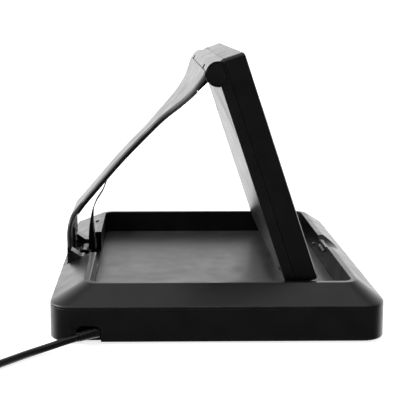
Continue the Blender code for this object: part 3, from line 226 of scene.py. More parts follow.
# Nitrile rubber, pressed: matt, dusty black.
rubber = finish("pressed_nitrile_rubber", "#141414", "#2c2c2c", 1.2, 0.04, 0.72, 0.08)
# PVC moulded round the cord's ends: smooth, slightly shiny black.
moulded_pvc = finish("moulded_pvc", "#151516", "#39393b", 0.9, 0.01, 0.36, 0.06)
# PVC drawn over the conductors: a fine grain and the sheen of a smooth jacket.
pvc_sheath = finish("extruded_pvc_sheath", "#131314", "#333335", 1.4, 0.02, 0.34, 0.05, patch_mm=40.0)
# Zinc-plated steel: a cool grey metal with fine streaks along Y from the rolled sheet.
plated_steel = finish("zinc_plated_steel", "#b9bbbd", "#e6e7e8", 0.5, 0.006, 0.30, 0.08, metallic=1.0,
                      stretch=(1, 0.08, 1))
# Blackened steel screws: dark metal with a soft gloss.
black_oxide = finish("black_oxide_steel", "#2a2a2c", "#8a8a8c", 0.4, 0.006, 0.36, 0.08, metallic=1.0)
# Polyester ribbon-cable film over tinned conductors: light grey.
ribbon_film = finish("ribbon_cable_film", "#8d8f92", "#b5b7ba", 0.9, 0.01, 0.38, 0.05)
print("finishes:", sorted(m.name for m in bpy.data.materials if m.use_nodes))

# %% [markdown]
# ## Glass
# The plate that presses on a page is clear float glass. It is smooth on both sides, so it is mostly
# what it reflects, and the matt backing behind it makes it look black. Wiping leaves broad faint
# smears, which change its gloss and hardly its tone. Its tint is the slight green of the iron in it.

# %% Float glass
def float_glass(name):
    """Clear glass, nearly mirror smooth, with faint smears 45 mm wide that change its gloss."""
    made = bpy.data.materials.new(name)
    made.use_nodes = True
    tree = made.node_tree
    shader = tree.nodes["Principled BSDF"]
    shader.inputs["IOR"].default_value = 1.52
    shader.inputs["Transmission Weight"].default_value = 1.0
    place = add_node(tree, "ShaderNodeTexCoord")
    smears = add_node(tree, "ShaderNodeTexNoise", {
        "Scale": 1 / (45 * MM), "Detail": 5.0, "Distortion": 0.6}, {"Vector": place.outputs["Object"]})
    gloss = add_node(tree, "ShaderNodeMapRange", {
        "From Min": 0.35, "From Max": 0.75, "To Min": 0.02, "To Max": 0.09}, {"Value": smears.outputs["Fac"]})
    tint = add_node(tree, "ShaderNodeMapRange", {
        "From Min": 0.3, "From Max": 0.7, "To Min": 0.94, "To Max": 1.0}, {"Value": smears.outputs["Fac"]})
    green = add_node(tree, "ShaderNodeVectorMath", {"operation": "SCALE", 0: linear("#eef6f2")[:3]},
                     {"Scale": tint.outputs["Result"]})
    tree.links.new(green.outputs["Vector"], shader.inputs["Base Color"])
    tree.links.new(gloss.outputs["Result"], shader.inputs["Roughness"])
    return made


glass = float_glass("float_glass")
print("glass of", len(glass.node_tree.nodes), "nodes")

# %% [markdown]
# ## Which finish goes on which node
# Every node gets its finish here first. A piece that is made again below takes its node's finish.

# %% Finishes on nodes
finish_of = {node: satin_abs for node in nodes}
finish_of.update({
    "tray_liner": grained_abs, "platen_backing": matt_paint, "panel_glass": glass,
    "mains_plug": moulded_pvc, "strain_relief": moulded_pvc, "ribbon_lead": ribbon_film,
})
for node in nodes:
    if node.startswith(("foot_", "panel_bumper")):
        finish_of[node] = rubber
    elif node.startswith(("base_screw", "panel_screw", "hinge_leaf")):
        finish_of[node] = black_oxide
    elif node.startswith(("leaf_screw", "arm_hinge_pin", "panel_hinge_pin", "latch_strike", "plug_blade")):
        finish_of[node] = plated_steel
    elif node.startswith("cord_"):
        finish_of[node] = pvc_sheath
for node, obj in nodes.items():
    for slot in obj.material_slots:
        slot.material = finish_of[node]

# %% [markdown]
# ## Pieces that keep their node's shape
# A simple moulding, such as a latch or a cap, has the right shape already and lacks only its
# broken edges. Real edges always have a small radius, and it catches the light as a thin line.
# The node's copy has its loose triangles merged and its flat faces joined, and then a Bevel
# modifier rounds its sharp edges.

# %% Placing a piece, and its edges
def place_piece(obj, *replaced):
    """Puts a piece on its node's body, with the node's finish and slot, to stand for its nodes."""
    if obj.name not in scene.collection.objects:
        scene.collection.objects.link(obj)
    finish_used = finish_of[replaced[0]]
    if not obj.data.materials:
        obj.data.materials.append(finish_used)
    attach(obj, body_of_node[replaced[0]])
    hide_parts(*replaced)
    return obj


def smooth_by_angle(mesh, degrees=30.0):
    """Smooth faces, with every edge sharper than the angle kept sharp."""
    mesh.shade_smooth()
    mesh.set_sharp_from_angle(angle=math.radians(degrees))


def add_bevel(obj, width_mm, segments=2, degrees=35.0):
    """Rounds edges sharper than the angle, and keeps the flat faces' shading flat."""
    bevel = obj.modifiers.new("broken_edges", "BEVEL")
    bevel.width = width_mm * MM
    bevel.segments = segments
    bevel.limit_method = "ANGLE"
    bevel.angle_limit = math.radians(degrees)
    bevel.harden_normals = True
    bevel.use_clamp_overlap = True


def softened(node, width_mm, segments=2):
    """A node's copy with merged vertices, joined flat faces and rounded edges."""
    data = bmesh.new()
    data.from_mesh(nodes[node].data)
    bmesh.ops.remove_doubles(data, verts=data.verts, dist=2e-6)
    bmesh.ops.dissolve_limit(data, angle_limit=math.radians(0.6), verts=data.verts, edges=data.edges)
    mesh = bpy.data.meshes.new(node + "_piece")
    data.to_mesh(mesh)
    data.free()
    smooth_by_angle(mesh)
    piece = bpy.data.objects.new(node + "_piece", mesh)
    add_bevel(piece, width_mm, segments)
    return place_piece(piece, node)


print("helpers ready")

# %% [markdown]
# ## Mains cord
# A round PVC cord about 1.8 m long and 6.6 mm thick leaves the base at its rear near corner
# through a ribbed strain relief, drops to the table and runs away to a coil, which stores
# what isn't needed, and ends in a two-blade plug. The coil is wound as one line in two layers:
# four turns inwards below and then outwards above, a pitch apart. Each turn keeps its radius and
# then steps over to the next one slowly, so that the cord never bends more than it can.

# %% The cord's centreline
CORD_DIAMETER = 6.6
COIL_MIDDLE = np.array([-254.0, -236.5])
COIL_PITCH = 6.75          # from one turn to the next, a little over the cord's thickness
COIL_MID_RADIUS = 42.7     # four turns lie side by side about it
OUTER_TURN = COIL_MID_RADIUS + 1.5 * COIL_PITCH
LOW_LAYER, HIGH_LAYER = 3.9, 3.9 + COIL_PITCH
RUN = np.array([(-124, -186.8, 8.0), (-134, -192.6, 6.8), (-146.5, -199.2, 4.6), (-157, -207, 3.7),
                (-166, -216.2, 3.6), (-184.2, -237, 3.6), (-195.4, -249.8, 3.8)])
COIL_START = math.radians(-41)  # where the run meets the outer turn
TURNS = 6 + (180 - 41) / 360    # six whole turns, then on to the rear, where the tail leaves
STEP_SHARE = 0.6           # of a turn, spent on stepping over to the next one
TAIL_Y = (-199.0, -191.3, -183.6, -177.0)
TAIL_Z = (9.8, 8.9, 8.0, 8.0)


def ease(t):
    """0 below 0, 1 above 1, and 6t^5 - 15t^4 + 10t^3 between, which starts and ends with no bend."""
    t = np.clip(t, 0, 1)
    return t ** 3 * (t * (6 * t - 15) + 10)


def coil_line(turns, points_per_turn=24):
    """Clockwise turns about COIL_MIDDLE. The radius steps in by a pitch late in each of the first three,
    the height steps up late in the fourth, and the radius steps out again from the fifth."""
    turn = np.linspace(0, turns, round(turns * points_per_turn) + 1)
    steps = [ease((turn - k - 1 + STEP_SHARE) / STEP_SHARE) for k in range(6)]
    radius = OUTER_TURN - COIL_PITCH * (steps[0] + steps[1] + steps[2] - steps[4] - steps[5])
    height = LOW_LAYER + (HIGH_LAYER - LOW_LAYER) * steps[3]
    angle = COIL_START - 2 * np.pi * turn
    x, y = COIL_MIDDLE[0] + radius * np.cos(angle), COIL_MIDDLE[1] + radius * np.sin(angle)
    return np.stack([x, y, height], 1)


def smooth_line(points, count):
    """A Catmull-Rom curve through all the points: each span is a cubic of its four nearest points."""
    ends = np.vstack([2 * points[0] - points[1], points, 2 * points[-1] - points[-2]])
    s = np.linspace(0, len(points) - 1 - 1e-9, count)
    k = s.astype(int)
    t = (s - k)[:, None]
    a, b, c, d = (ends[k + j] for j in range(4))
    return 0.5 * (2 * b + (c - a) * t + (2 * a - 5 * b + 4 * c - d) * t ** 2
                  + (3 * b - a - 3 * c + d) * t ** 3)


def length_of(line):
    """The sum of the distances between a line's points."""
    return float(np.linalg.norm(np.diff(line, axis=0), axis=1).sum())


def evenly(line, count):
    """count points at equal distances along a line."""
    along = np.concatenate([[0], np.cumsum(np.linalg.norm(np.diff(line, axis=0), axis=1))])
    at = np.linspace(0, along[-1], count)
    return np.stack([np.interp(at, along, line[:, i]) for i in range(line.shape[1])], 1)


print("a line through", len(RUN), "route points, then", round(TURNS, 2), "turns")

# %% The whole line
coil = coil_line(TURNS)
tail = np.stack([np.full(4, COIL_MIDDLE[0] - OUTER_TURN + COIL_PITCH), TAIL_Y, TAIL_Z], 1)
run = evenly(smooth_line(np.vstack([RUN, coil[0]]), 400), 22)
cord_line = np.vstack([run[:-1], coil, tail])
print("run", round(length_of(run)), "mm, coil", round(length_of(coil)), "mm, whole",
      round(length_of(cord_line)), "mm")

# %% The cord as a curve
cord_curve = bpy.data.curves.new("mains_cord", "CURVE")
cord_curve.dimensions = "3D"
cord_spline = cord_curve.splines.new("NURBS")
cord_spline.points.add(len(cord_line) - 1)
cord_spline.points.foreach_set("co", np.hstack([cord_line * MM, np.ones((len(cord_line), 1))]).ravel())
cord_spline.order_u = 3
cord_spline.use_endpoint_u = True
cord_spline.resolution_u = 3
cord_curve.bevel_depth = CORD_DIAMETER / 2 * MM
cord_curve.bevel_resolution = 4
cord_curve.use_fill_caps = True
mains_cord = bpy.data.objects.new("mains_cord", cord_curve)
place_piece(mains_cord, "cord_run", "cord_coil", "cord_tail")
print("cord of", len(cord_line), "points")

# %% [markdown]
# ## Small turned pieces
# Feet, buttons, pins, the strike pin and the strain relief are round, so each is a profile of
# radius against height, carried round a line.

# %% A closed surface from a grid, and a profile turned round an axis
def grid_object(name, points, marks=None, degrees=30.0, looped=False):
    """A closed surface from a K x N grid of points in mm. Each row closes on itself, and the first and
    last rows are closed by one face, or merged to a point where they have no size. A looped grid joins
    its last row to its first instead. marks gives each row's edge mark."""
    rows, around = points.shape[:2]
    index = np.arange(rows * around).reshape(rows, around)
    turned_on = np.roll(index, -1, 1)
    quads = np.stack([index[:-1], turned_on[:-1], turned_on[1:], index[1:]], -1).reshape(-1, 4)
    ends = [index[0, ::-1].tolist(), index[-1].tolist()]
    if looped:
        ends = np.stack([index[-1], turned_on[-1], turned_on[0], index[0]], -1).tolist()
    mesh = bpy.data.meshes.new(name)
    mesh.from_pydata((points.reshape(-1, 3) * MM).tolist(), [], quads.tolist() + ends)
    if marks is not None:
        edge = mesh.attributes.new("edge", "FLOAT", "POINT")
        edge.data.foreach_set("value", np.repeat(np.asarray(marks, float), around))
    data = bmesh.new()
    data.from_mesh(mesh)
    bmesh.ops.remove_doubles(data, verts=data.verts, dist=1e-6)
    bmesh.ops.recalc_face_normals(data, faces=data.faces)
    data.to_mesh(mesh)
    data.free()
    smooth_by_angle(mesh, degrees)
    obj = bpy.data.objects.new(name, mesh)
    scene.collection.objects.link(obj)
    return obj


def ring_points(profile, start, direction, around):
    """Rings about a line: the point at angle u of ring k is start + height[k] * direction
    + radius[k] * (cos u * one side + sin u * the other side), for rows of (radius, height)."""
    profile = np.array(profile, float)
    along = np.array(Vector(direction).normalized())
    side = np.array(Vector(along).orthogonal().normalized())
    angle = np.linspace(0, 2 * np.pi, around, endpoint=False)[:, None]
    circle = np.cos(angle) * side + np.sin(angle) * np.cross(along, side)
    return np.array(start) + profile[:, 1, None, None] * along + profile[:, 0, None, None] * circle


def turned(name, node, profile, start, direction, around=40, marks=None):
    """A surface of revolution. A radius of 0 closes an end in one point."""
    return place_piece(grid_object(name, ring_points(profile, start, direction, around), marks), node)


def middle_of(node):
    """The middle of a node's box in mm."""
    return np.array([(a + b) / 2 / MM for a, b in zip(*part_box(node))])


print("a 4 x 8 grid closes into", len(ring_points([(1, 0)] * 4, (0, 0, 0), (0, 0, 1), 8)[0]) * 3 + 2, "faces")

# %% [markdown]
# ## Strain relief
# Where the cord enters the base it would be bent sharply again and again, so a PVC sleeve is moulded
# on it there. It tapers towards the cord, and the grooves between its ribs let it flex evenly. It is
# a turned profile along the cord's own first direction.

# %% The ribbed sleeve
RELIEF_LENGTH, RELIEF_TIP, RELIEF_ROOT = 20.0, 3.9, 5.0
RIB_PITCH, GROOVE_DEPTH, RIBBED_LENGTH = 3.3, 0.7, 16.0
exit_point = cord_line[0]
back_along = (cord_line[0] - cord_line[1]) / np.linalg.norm(cord_line[0] - cord_line[1])
relief_at = np.linspace(0, RELIEF_LENGTH, 97)
# A groove wherever the sine of the way along is high, and a taper under it.
grooves = (np.sin(relief_at * 2 * np.pi / RIB_PITCH) > 0.35) * (relief_at < RIBBED_LENGTH)
relief_radius = RELIEF_TIP + (RELIEF_ROOT - RELIEF_TIP) * relief_at / RELIEF_LENGTH - GROOVE_DEPTH * grooves
relief_profile = [(0, 0)] + list(zip(relief_radius, relief_at)) + [(0, RELIEF_LENGTH)]
strain_relief = turned("strain_relief_piece", "strain_relief", relief_profile, exit_point + back_along * 0.3,
                       back_along, 24)
print("strain relief with", len(relief_profile), "rings")

# %% [markdown]
# ## The coil's tie
# A stored cord is held by a soft band round the whole bundle. The band is two loops, one inside the
# other, each a rounded rectangle that just clears the turns, at both of the band's edges.

# %% A band round the coil
TIE_WIDTH, TIE_THICKNESS = 7.0, 0.5
tie_angle = math.radians(118)
Z_AXIS = np.array([0.0, 0.0, 1.0])
out_of_coil = np.array([math.cos(tie_angle), math.sin(tie_angle), 0.0])
along_coil = np.array([-math.sin(tie_angle), math.cos(tie_angle), 0.0])


def tie_loop(grow, shift):
    """The band's loop, grown outwards by some mm, and shifted along the coil."""
    turn = np.arange(4)[:, None] * np.pi / 2 + np.linspace(0, np.pi / 2, 8)
    cord_radius = CORD_DIAMETER / 2 + 0.05
    half_r, half_z = 1.5 * COIL_PITCH + cord_radius + grow, COIL_PITCH / 2 + cord_radius + grow
    radius = 3.2 + grow
    r = np.array([1, -1, -1, 1])[:, None] * (half_r - radius) + radius * np.cos(turn)
    z = np.array([1, 1, -1, -1])[:, None] * (half_z - radius) + radius * np.sin(turn)
    centre = np.array([*COIL_MIDDLE, (LOW_LAYER + HIGH_LAYER) / 2]) + COIL_MID_RADIUS * out_of_coil
    return centre + shift * along_coil + r.reshape(-1, 1) * out_of_coil + z.reshape(-1, 1) * Z_AXIS


edges = ((0, -1), (TIE_THICKNESS, -1), (TIE_THICKNESS, 1), (0, 1))
loops = [tie_loop(grow, side * TIE_WIDTH / 2) for grow, side in edges]
coil_tie = grid_object("coil_tie", np.stack(loops), looped=True)
coil_tie.data.materials.append(rubber)
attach(coil_tie, "base")
print("tie round the coil,", len(coil_tie.data.polygons), "faces")

# %% [markdown]
# ## Base shells
# The base is two mouldings with a parting line between them. Each is an outline, a rectangle with
# round corners, stacked at several heights. Where the stack turns, for example from the upright side
# to the bevel, the turn is rounded with a short curve, because a mould's edges are never sharp and
# the light runs along them as a thin line. The notch, the dish for a finger and the pockets are cut
# with a Boolean, as a maker would mill them into the mould's core.

# %% Stacked outlines
BASE_HALF_X, BASE_HALF_Y, BASE_CORNER = 150.0, 181.0, 22.0
TRAY_BACK, TRAY_FRONT, TRAY_HALF_Y, TRAY_CORNER = -115.2, 123.5, 152.0, 9.0
UNDERSIDE, PARTING, FOLD, LIP = 1.5, 31.4, 33.6, 48.4   # heights
HALF_GAP = 0.15                                         # of the parting line
LIP_WIDTH, WALL, TUB_WALL, TUB_FLOOR = 5.5, 3.0, 2.5, 23.3
NOTCH_BACK, NOTCH_HALF, NOTCH_FLOOR, NOTCH_BLOCK = -146.4, 45.5, 27.6, 54.5
NOTCH_WALL_TOP = 33.2
PIVOT = (-130.0, 37.5)                                  # X and Z of the arm's pin
LATCH_FRONT, LATCH_HALF, LATCH_FLOOR, LATCH_BLOCK = 130.7, 17.5, 33.7, 38.0
ABOVE = 60.0                                            # a height over everything in the base


def rounded_outline(low_x, high_x, half_y, radius, z, per_corner=10):
    """A closed row of points: each corner's quarter circle is its centre + radius * (cos, sin)."""
    turn = np.arange(4)[:, None] * np.pi / 2 + np.linspace(0, np.pi / 2, per_corner)
    middles = np.array([high_x - radius, low_x + radius, low_x + radius, high_x - radius])
    x = middles[:, None] + radius * np.cos(turn)
    y = np.array([1, 1, -1, -1])[:, None] * (half_y - radius) + radius * np.sin(turn)
    return np.stack([x, y, np.full_like(x, z)], -1).reshape(-1, 3)


def base_row(inset, z):
    """The base's outline, moved in."""
    half_x, half_y = BASE_HALF_X - inset, BASE_HALF_Y - inset
    return rounded_outline(-half_x, half_x, half_y, BASE_CORNER - inset, z)


def tray_row(grow, z):
    """The tray's outline, moved out."""
    return rounded_outline(TRAY_BACK - grow, TRAY_FRONT + grow, TRAY_HALF_Y + grow, TRAY_CORNER + grow, z)


def stacked(rows, rounds, steps=4):
    """Rows of points with rounded turns, and the edge mark of each row made.

    At a turn P with round r, the rows are (1-t)^2 A + 2t(1-t) P + t^2 B, where A and B lie r away from
    P towards the rows before and after. The middle of each such curve is marked as an edge.
    """
    t = np.linspace(0, 1, steps + 1)
    made, marks = [], []
    for k, (row, size) in enumerate(zip(rows, rounds)):
        if size == 0:
            made.append(row[None])
            marks.append([0.0])
            continue
        to_row = [rows[k + side] - row for side in (-1, 1)]
        lengths = [np.linalg.norm(v, axis=1, keepdims=True) for v in to_row]
        a, b = (row + v / n * np.minimum(size, n / 2) for v, n in zip(to_row, lengths))
        u = t[:, None, None]
        made.append((1 - u) ** 2 * a + 2 * u * (1 - u) * row + u ** 2 * b)
        marks.append(4 * t * (1 - t))
    return np.concatenate(made), np.concatenate(marks)


print("an outline has", len(base_row(0, 0)), "points")


# %% Tools for cutting, and the finish of a shell
def cutter(points):
    """A closed surface that is only used as a Boolean's tool."""
    return grid_object("tool", np.array(points, float))


def block(low, high):
    """A box as a tool, from its lowest and highest corners in mm."""
    (x0, y0, z0), (x1, y1, z1) = low, high
    ring = np.array([(x0, y0), (x1, y0), (x1, y1), (x0, y1)], float)
    return cutter([np.column_stack([ring, np.full(4, z)]) for z in (z0, z1)])


def rod(start, end, radius, around=32):
    """A cylinder as a tool: a circle across the line at both of its ends."""
    length = float(np.linalg.norm(np.subtract(end, start)))
    return cutter(ring_points([(radius, 0), (radius, length)], start, np.subtract(end, start), around))


def boolean(obj, tool, operation="DIFFERENCE"):
    """Cuts or joins a tool, keeps the result as the piece's mesh, and removes the tool."""
    step = obj.modifiers.new("cut", "BOOLEAN")
    step.operation = operation
    step.solver = "EXACT"
    step.object = tool
    evaluated = obj.evaluated_get(bpy.context.evaluated_depsgraph_get())
    result = bpy.data.meshes.new_from_object(evaluated)
    obj.modifiers.clear()
    obj.data = result
    bpy.data.objects.remove(tool)


def shell_finish(obj, degrees=30.0):
    """Smooth shading that leaves the large faces flat."""
    smooth_by_angle(obj.data, degrees)
    weighted = obj.modifiers.new("flat_faces", "WEIGHTED_NORMAL")
    weighted.keep_sharp = True
    weighted.weight = 80
    return obj


print("tools and shell finish ready; a wall is", WALL, "mm thick")

# %% The upper shell: rim, lip and hollow
rows, marks = stacked([base_row(0, PARTING + HALF_GAP), base_row(0, FOLD), tray_row(LIP_WIDTH, LIP),
                       tray_row(LIP_WIDTH - 3, LIP)], (0, 1.6, 0.9, 0))
base_top = grid_object("base_top_piece", rows, marks)
hollow = cutter([base_row(WALL, PARTING - 5), base_row(WALL, FOLD - WALL / 2),
                 tray_row(LIP_WIDTH - 1, LIP - WALL)])
# The plastic stays solid beside the notch and round the latch.
boolean(hollow, block((-155, -NOTCH_BLOCK, 0), (TRAY_BACK + 3, NOTCH_BLOCK, ABOVE)))
boolean(hollow, block((TRAY_FRONT - 3, -LATCH_BLOCK, 0), (155, LATCH_BLOCK, ABOVE)))
boolean(base_top, hollow)
print("rim:", len(base_top.data.polygons), "faces")

# %% The upper shell: tub and tray
boolean(base_top, cutter([tray_row(TUB_WALL, TUB_FLOOR - TUB_WALL), tray_row(TUB_WALL, LIP - 1.5)]), "UNION")
boolean(base_top, block((NOTCH_BACK - 0.3, -NOTCH_BLOCK, NOTCH_FLOOR - TUB_WALL),
                        (TRAY_BACK, NOTCH_BLOCK, FOLD)), "UNION")
# The tray's tool flares out at the lip, by a quarter circle, so that the lip's inner edge comes out round.
EDGE_ROUND = 0.8
flare = [tray_row(EDGE_ROUND * (1 - math.cos(a)), LIP - EDGE_ROUND * (1 - math.sin(a)))
         for a in np.radians(np.linspace(0, 90, 5))]
boolean(base_top, cutter([tray_row(0, TUB_FLOOR)] + flare + [tray_row(EDGE_ROUND, LIP + 10)]))
print("upper shell before its cuts:", len(base_top.data.polygons), "faces")

# %% The upper shell: notch, dish, pocket and holes
boolean(base_top, block((NOTCH_BACK, -NOTCH_HALF, NOTCH_FLOOR), (TRAY_BACK + 2, NOTCH_HALF, ABOVE)))
boolean(base_top, block((-155, -NOTCH_HALF, NOTCH_WALL_TOP), (NOTCH_BACK + 2, NOTCH_HALF, ABOVE)))
boolean(base_top, rod((PIVOT[0], -52.3, PIVOT[1]), (PIVOT[0], 52.3, PIVOT[1]), 3.3))
# An ellipsoid: middle + half-axes * (sin u cos v, sin u sin v, -cos u).
DISH_MIDDLE, DISH_HALF = np.array([131.0, 0.0, 50.4]), np.array([20.0, 29.0, 10.0])
u, v = np.linspace(0, np.pi, 25)[:, None], np.linspace(0, 2 * np.pi, 48, endpoint=False)
dish = np.stack([np.sin(u) * np.cos(v), np.sin(u) * np.sin(v), -np.cos(u) * np.ones(48)], -1)
boolean(base_top, cutter(DISH_MIDDLE + DISH_HALF * dish))
boolean(base_top, block((TRAY_FRONT - 2, -LATCH_HALF, LATCH_FLOOR), (LATCH_FRONT, LATCH_HALF, ABOVE)))
STRIKE_Y, STRIKE_Z = 50.0, 32.6
boolean(base_top, rod((121, STRIKE_Y, STRIKE_Z), (128.5, STRIKE_Y, STRIKE_Z), 2.2, 20))
BUTTON_HOLE = 2.85
BUTTON_OUT = np.array([-0.4509, 0.0, 0.8926])           # square to the rear bevel
for button in ("button_1", "button_2"):
    centre = middle_of(button)
    boolean(base_top, rod(centre - BUTTON_OUT * 8, centre + BUTTON_OUT * 8, BUTTON_HOLE, 28))
shell_finish(base_top)
place_piece(base_top, "base_top")
print("upper shell:", len(base_top.data.polygons), "faces")

# %% The lower shell
FLOOR_TOP = 4.0
RIM_TOP = PARTING - HALF_GAP
rows, marks = stacked([base_row(3, UNDERSIDE), base_row(0, UNDERSIDE), base_row(0, RIM_TOP),
                       base_row(WALL, RIM_TOP), base_row(WALL, FLOOR_TOP), base_row(WALL + 3, FLOOR_TOP)],
                      (0, 1.5, 0.4, 0, 0, 0))
base_bottom = grid_object("base_bottom_piece", rows, marks)
# The cord's arch is a rounded rectangle stood on edge, of which the half above the underside cuts.
arch = rounded_outline(-125.0, -103.6, 15.0, 6.0, 0)
boolean(base_bottom, cutter([np.column_stack([arch[:, 0], np.full(len(arch), y), arch[:, 1] + UNDERSIDE])
                             for y in (-186.0, -175.0)]))
for i in range(1, 5):
    x, y, _ = middle_of(f"foot_{i}")
    boolean(base_bottom, rod((x, y, 0), (x, y, 2.5), 9.3, 40))
    x, y, _ = middle_of(f"base_screw_{i}")
    boolean(base_bottom, rod((x, y, 0), (x, y, 6), 1.8, 16))
shell_finish(base_bottom)
place_piece(base_bottom, "base_bottom")
print("lower shell:", len(base_bottom.data.polygons), "faces")

# %% [markdown]
# ## Arm
# The arm is one long moulding, seen from the side as a bow: a plate at its foot, a slender middle
# and a flare at the top as wide as the panel. Its section is a flat bar with a full round on its
# outer edges. So it is a section carried along a smooth line, with a width that is worked out from
# how far along it is.

# %% A bar along a line in the XZ plane
ARM_LINE = np.array([
    (-143.1, 41), (-143.1, 54.75), (-143.1, 68.5), (-140.4, 81.6), (-134.2, 90.4), (-118.8, 108.8),
    (-91.2, 140.5), (-63.7, 169), (-46.4, 187.4), (-31.5, 202.2), (-20.4, 215.6), (-13.9, 228), (-9.8, 237.5),
])
AXIS = (0.5, 235.5)        # X and Z of the panel's pin
ARM_THICKNESS = 4.2


def arm_width(share):
    """88 mm at the foot easing to 60, then + 237.4 * flare ** 1.85 up to the panel's width."""
    narrowing = np.clip((share - 0.135) / 0.11, 0, 1)
    narrowing = narrowing ** 2 * (3 - 2 * narrowing)
    return 88 - 28 * narrowing + 237.4 * np.clip((share - 0.62) / 0.365, 0, 1) ** 1.85


def bar(line, thickness, width, round_edge, per_corner=4):
    """Sections across a line: each is a rounded rectangle, with its thickness along the line's normal
    and its width along Y. round_edge is one radius, or one for the side that the normal points to and
    one for the other side. Also gives each point's edge mark: how near it lies to a corner."""
    count = len(line)
    along = np.gradient(line, axis=0)
    along /= np.linalg.norm(along, axis=1, keepdims=True)
    normal = np.stack([-along[:, 1], along[:, 0]], 1)
    half = np.broadcast_to(np.asarray(thickness) / 2, count)[:, None]
    side = np.broadcast_to(np.asarray(width) / 2, count)[:, None]
    turn = (np.arange(4)[:, None] * np.pi / 2 + np.linspace(0, np.pi / 2, per_corner)).ravel()
    sign_n = np.repeat([1, -1, -1, 1], per_corner)
    sign_y = np.repeat([1, 1, -1, -1], per_corner)
    radius = np.where(sign_n > 0, *np.broadcast_to(round_edge, 2))
    across = sign_n * (half - radius) + radius * np.cos(turn)
    sideways = sign_y * (side - radius) + radius * np.sin(turn)
    points = np.stack([line[:, :1] + normal[:, :1] * across, sideways,
                       line[:, 1:] + normal[:, 1:] * across], -1)
    mark = np.tile(np.sin(np.linspace(0, np.pi, per_corner)), 4)
    return points, np.tile(mark, (count, 1))


def bar_object(name, line, thickness, width, round_edge, per_corner=4):
    """A bar as a closed surface, with its edge marks in the mesh."""
    points, mark = bar(line, thickness, width, round_edge, per_corner)
    obj = grid_object(name, points)
    edge = obj.data.attributes.new("edge", "FLOAT", "POINT")
    edge.data.foreach_set("value", mark.ravel()[:len(obj.data.vertices)])
    return obj


arm_path = evenly(smooth_line(ARM_LINE, 600), 140)
share = np.linspace(0, 1, 140)
arm = bar_object("arm_piece", arm_path, ARM_THICKNESS, arm_width(share), (3.5, 0.5), 7)
widths = arm_width(share)
print("arm:", round(length_of(arm_path), 1), "mm long,", widths.min(), "to", widths.max().round(1), "mm wide")

# %% The arm's foot and its seat for the barrel
web_turn = np.radians(215 + np.linspace(0, 250, 24))
KNUCKLE_RADIUS, KNUCKLE_WIDTH, SEAT_RADIUS = 6.5, 14.0, 12.0
knuckle = np.stack([PIVOT[0] + KNUCKLE_RADIUS * np.cos(web_turn),
                    PIVOT[1] + KNUCKLE_RADIUS * np.sin(web_turn)], 1)
web_side = np.vstack([[(-144.9, 53.0), (-144.9, 38.5)], knuckle])
for low_y in (-44.0, 30.0):
    sides = [np.stack([web_side[:, 0], np.full(len(web_side), y), web_side[:, 1]], 1)
             for y in (low_y, low_y + KNUCKLE_WIDTH)]
    boolean(arm, cutter(sides), "UNION")
boolean(arm, rod((PIVOT[0], -50, PIVOT[1]), (PIVOT[0], 50, PIVOT[1]), 3.06))
boolean(arm, rod((AXIS[0], -155, AXIS[1]), (AXIS[0], 155, AXIS[1]), SEAT_RADIUS, 96))
shell_finish(arm)
place_piece(arm, "arm")
print("arm:", len(arm.data.polygons), "faces")

# %% The arm's inner cover
def moved_aside(line, distance):
    """A line moved along its own normal, (-dz, dx)."""
    along = np.gradient(line, axis=0)
    along /= np.linalg.norm(along, axis=1, keepdims=True)
    return line + distance * np.stack([-along[:, 1], along[:, 0]], 1)


COVER_THICKNESS, COVER_GAP = 1.4, 0.3
cover_part = (share >= 0.19) & (share <= 1 - 20 / length_of(arm_path))
cover_line = moved_aside(arm_path[cover_part], -(ARM_THICKNESS / 2 + COVER_GAP + COVER_THICKNESS / 2))
cover = bar_object("arm_inner_cover_piece", cover_line, COVER_THICKNESS, widths[cover_part] - 4, 0.5)
shell_finish(cover)
place_piece(cover, "arm_inner_cover")
print("inner cover:", len(cover_line), "sections")

# %% [markdown]
# ## Small hardware
# Screws are turned and then struck with a crossed recess. Feet are pressed rubber discs with a round
# edge, the buttons are slightly domed, and pins have a chamfer that leads them into their holes.
# All are profiles turned about their own axis, so they share one function.

# %% Helpers for turned pieces
LEAN = math.radians(18.57)
PANEL_OUT = np.array([math.cos(LEAN), 0.0, math.sin(LEAN)])


def ends_of(node, axis):
    """The middle of a turned node's two ends and its radius in mm, from its own points."""
    points = np.empty(len(nodes[node].data.vertices) * 3)
    nodes[node].data.vertices.foreach_get("co", points)
    points = points.reshape(-1, 3) / MM
    middle = (points.max(0) + points.min(0)) / 2
    along = (points - middle) @ axis
    off_axis = np.linalg.norm((points - middle) - along[:, None] * axis, axis=1)
    return middle + axis * along.min(), along.max() - along.min(), off_axis.max()


def crossed(obj, top, axis, reach, width, depth):
    """Cuts two crossed slots into a head, from its top down along the axis."""
    side = np.array(Vector(axis).orthogonal().normalized())
    other = np.cross(axis, side)
    for a, b in ((side, other), (other, side)):
        ring = np.array([x * reach * a + y * width / 2 * b for x, y in ((-1, -1), (1, -1), (1, 1), (-1, 1))])
        boolean(obj, cutter([top + ring - axis * depth, top + ring + axis]))


def screw(node, head_out, head_share, thread=None):
    """A low domed head with a crossed recess. head_out points from the shank to the head's top."""
    start, length, radius = ends_of(node, head_out)
    head = head_share * length
    shank = radius if thread is None else thread
    profile = [(0, 0), (shank * 0.7, 0), (shank, 0.4), (shank, length - head),
               (radius, length - head + 0.01), (radius, length - head * 0.35),
               (radius * 0.86, length - head * 0.1), (radius * 0.5, length - 0.02), (0, length)]
    obj = grid_object(node + "_piece", ring_points(profile, start, head_out, 28))
    crossed(obj, start + head_out * length, head_out, radius * 0.58, radius * 0.26, min(head * 0.6, 1.0))
    shell_finish(obj)
    return place_piece(obj, node)


print("panel's outward direction:", PANEL_OUT.round(4))

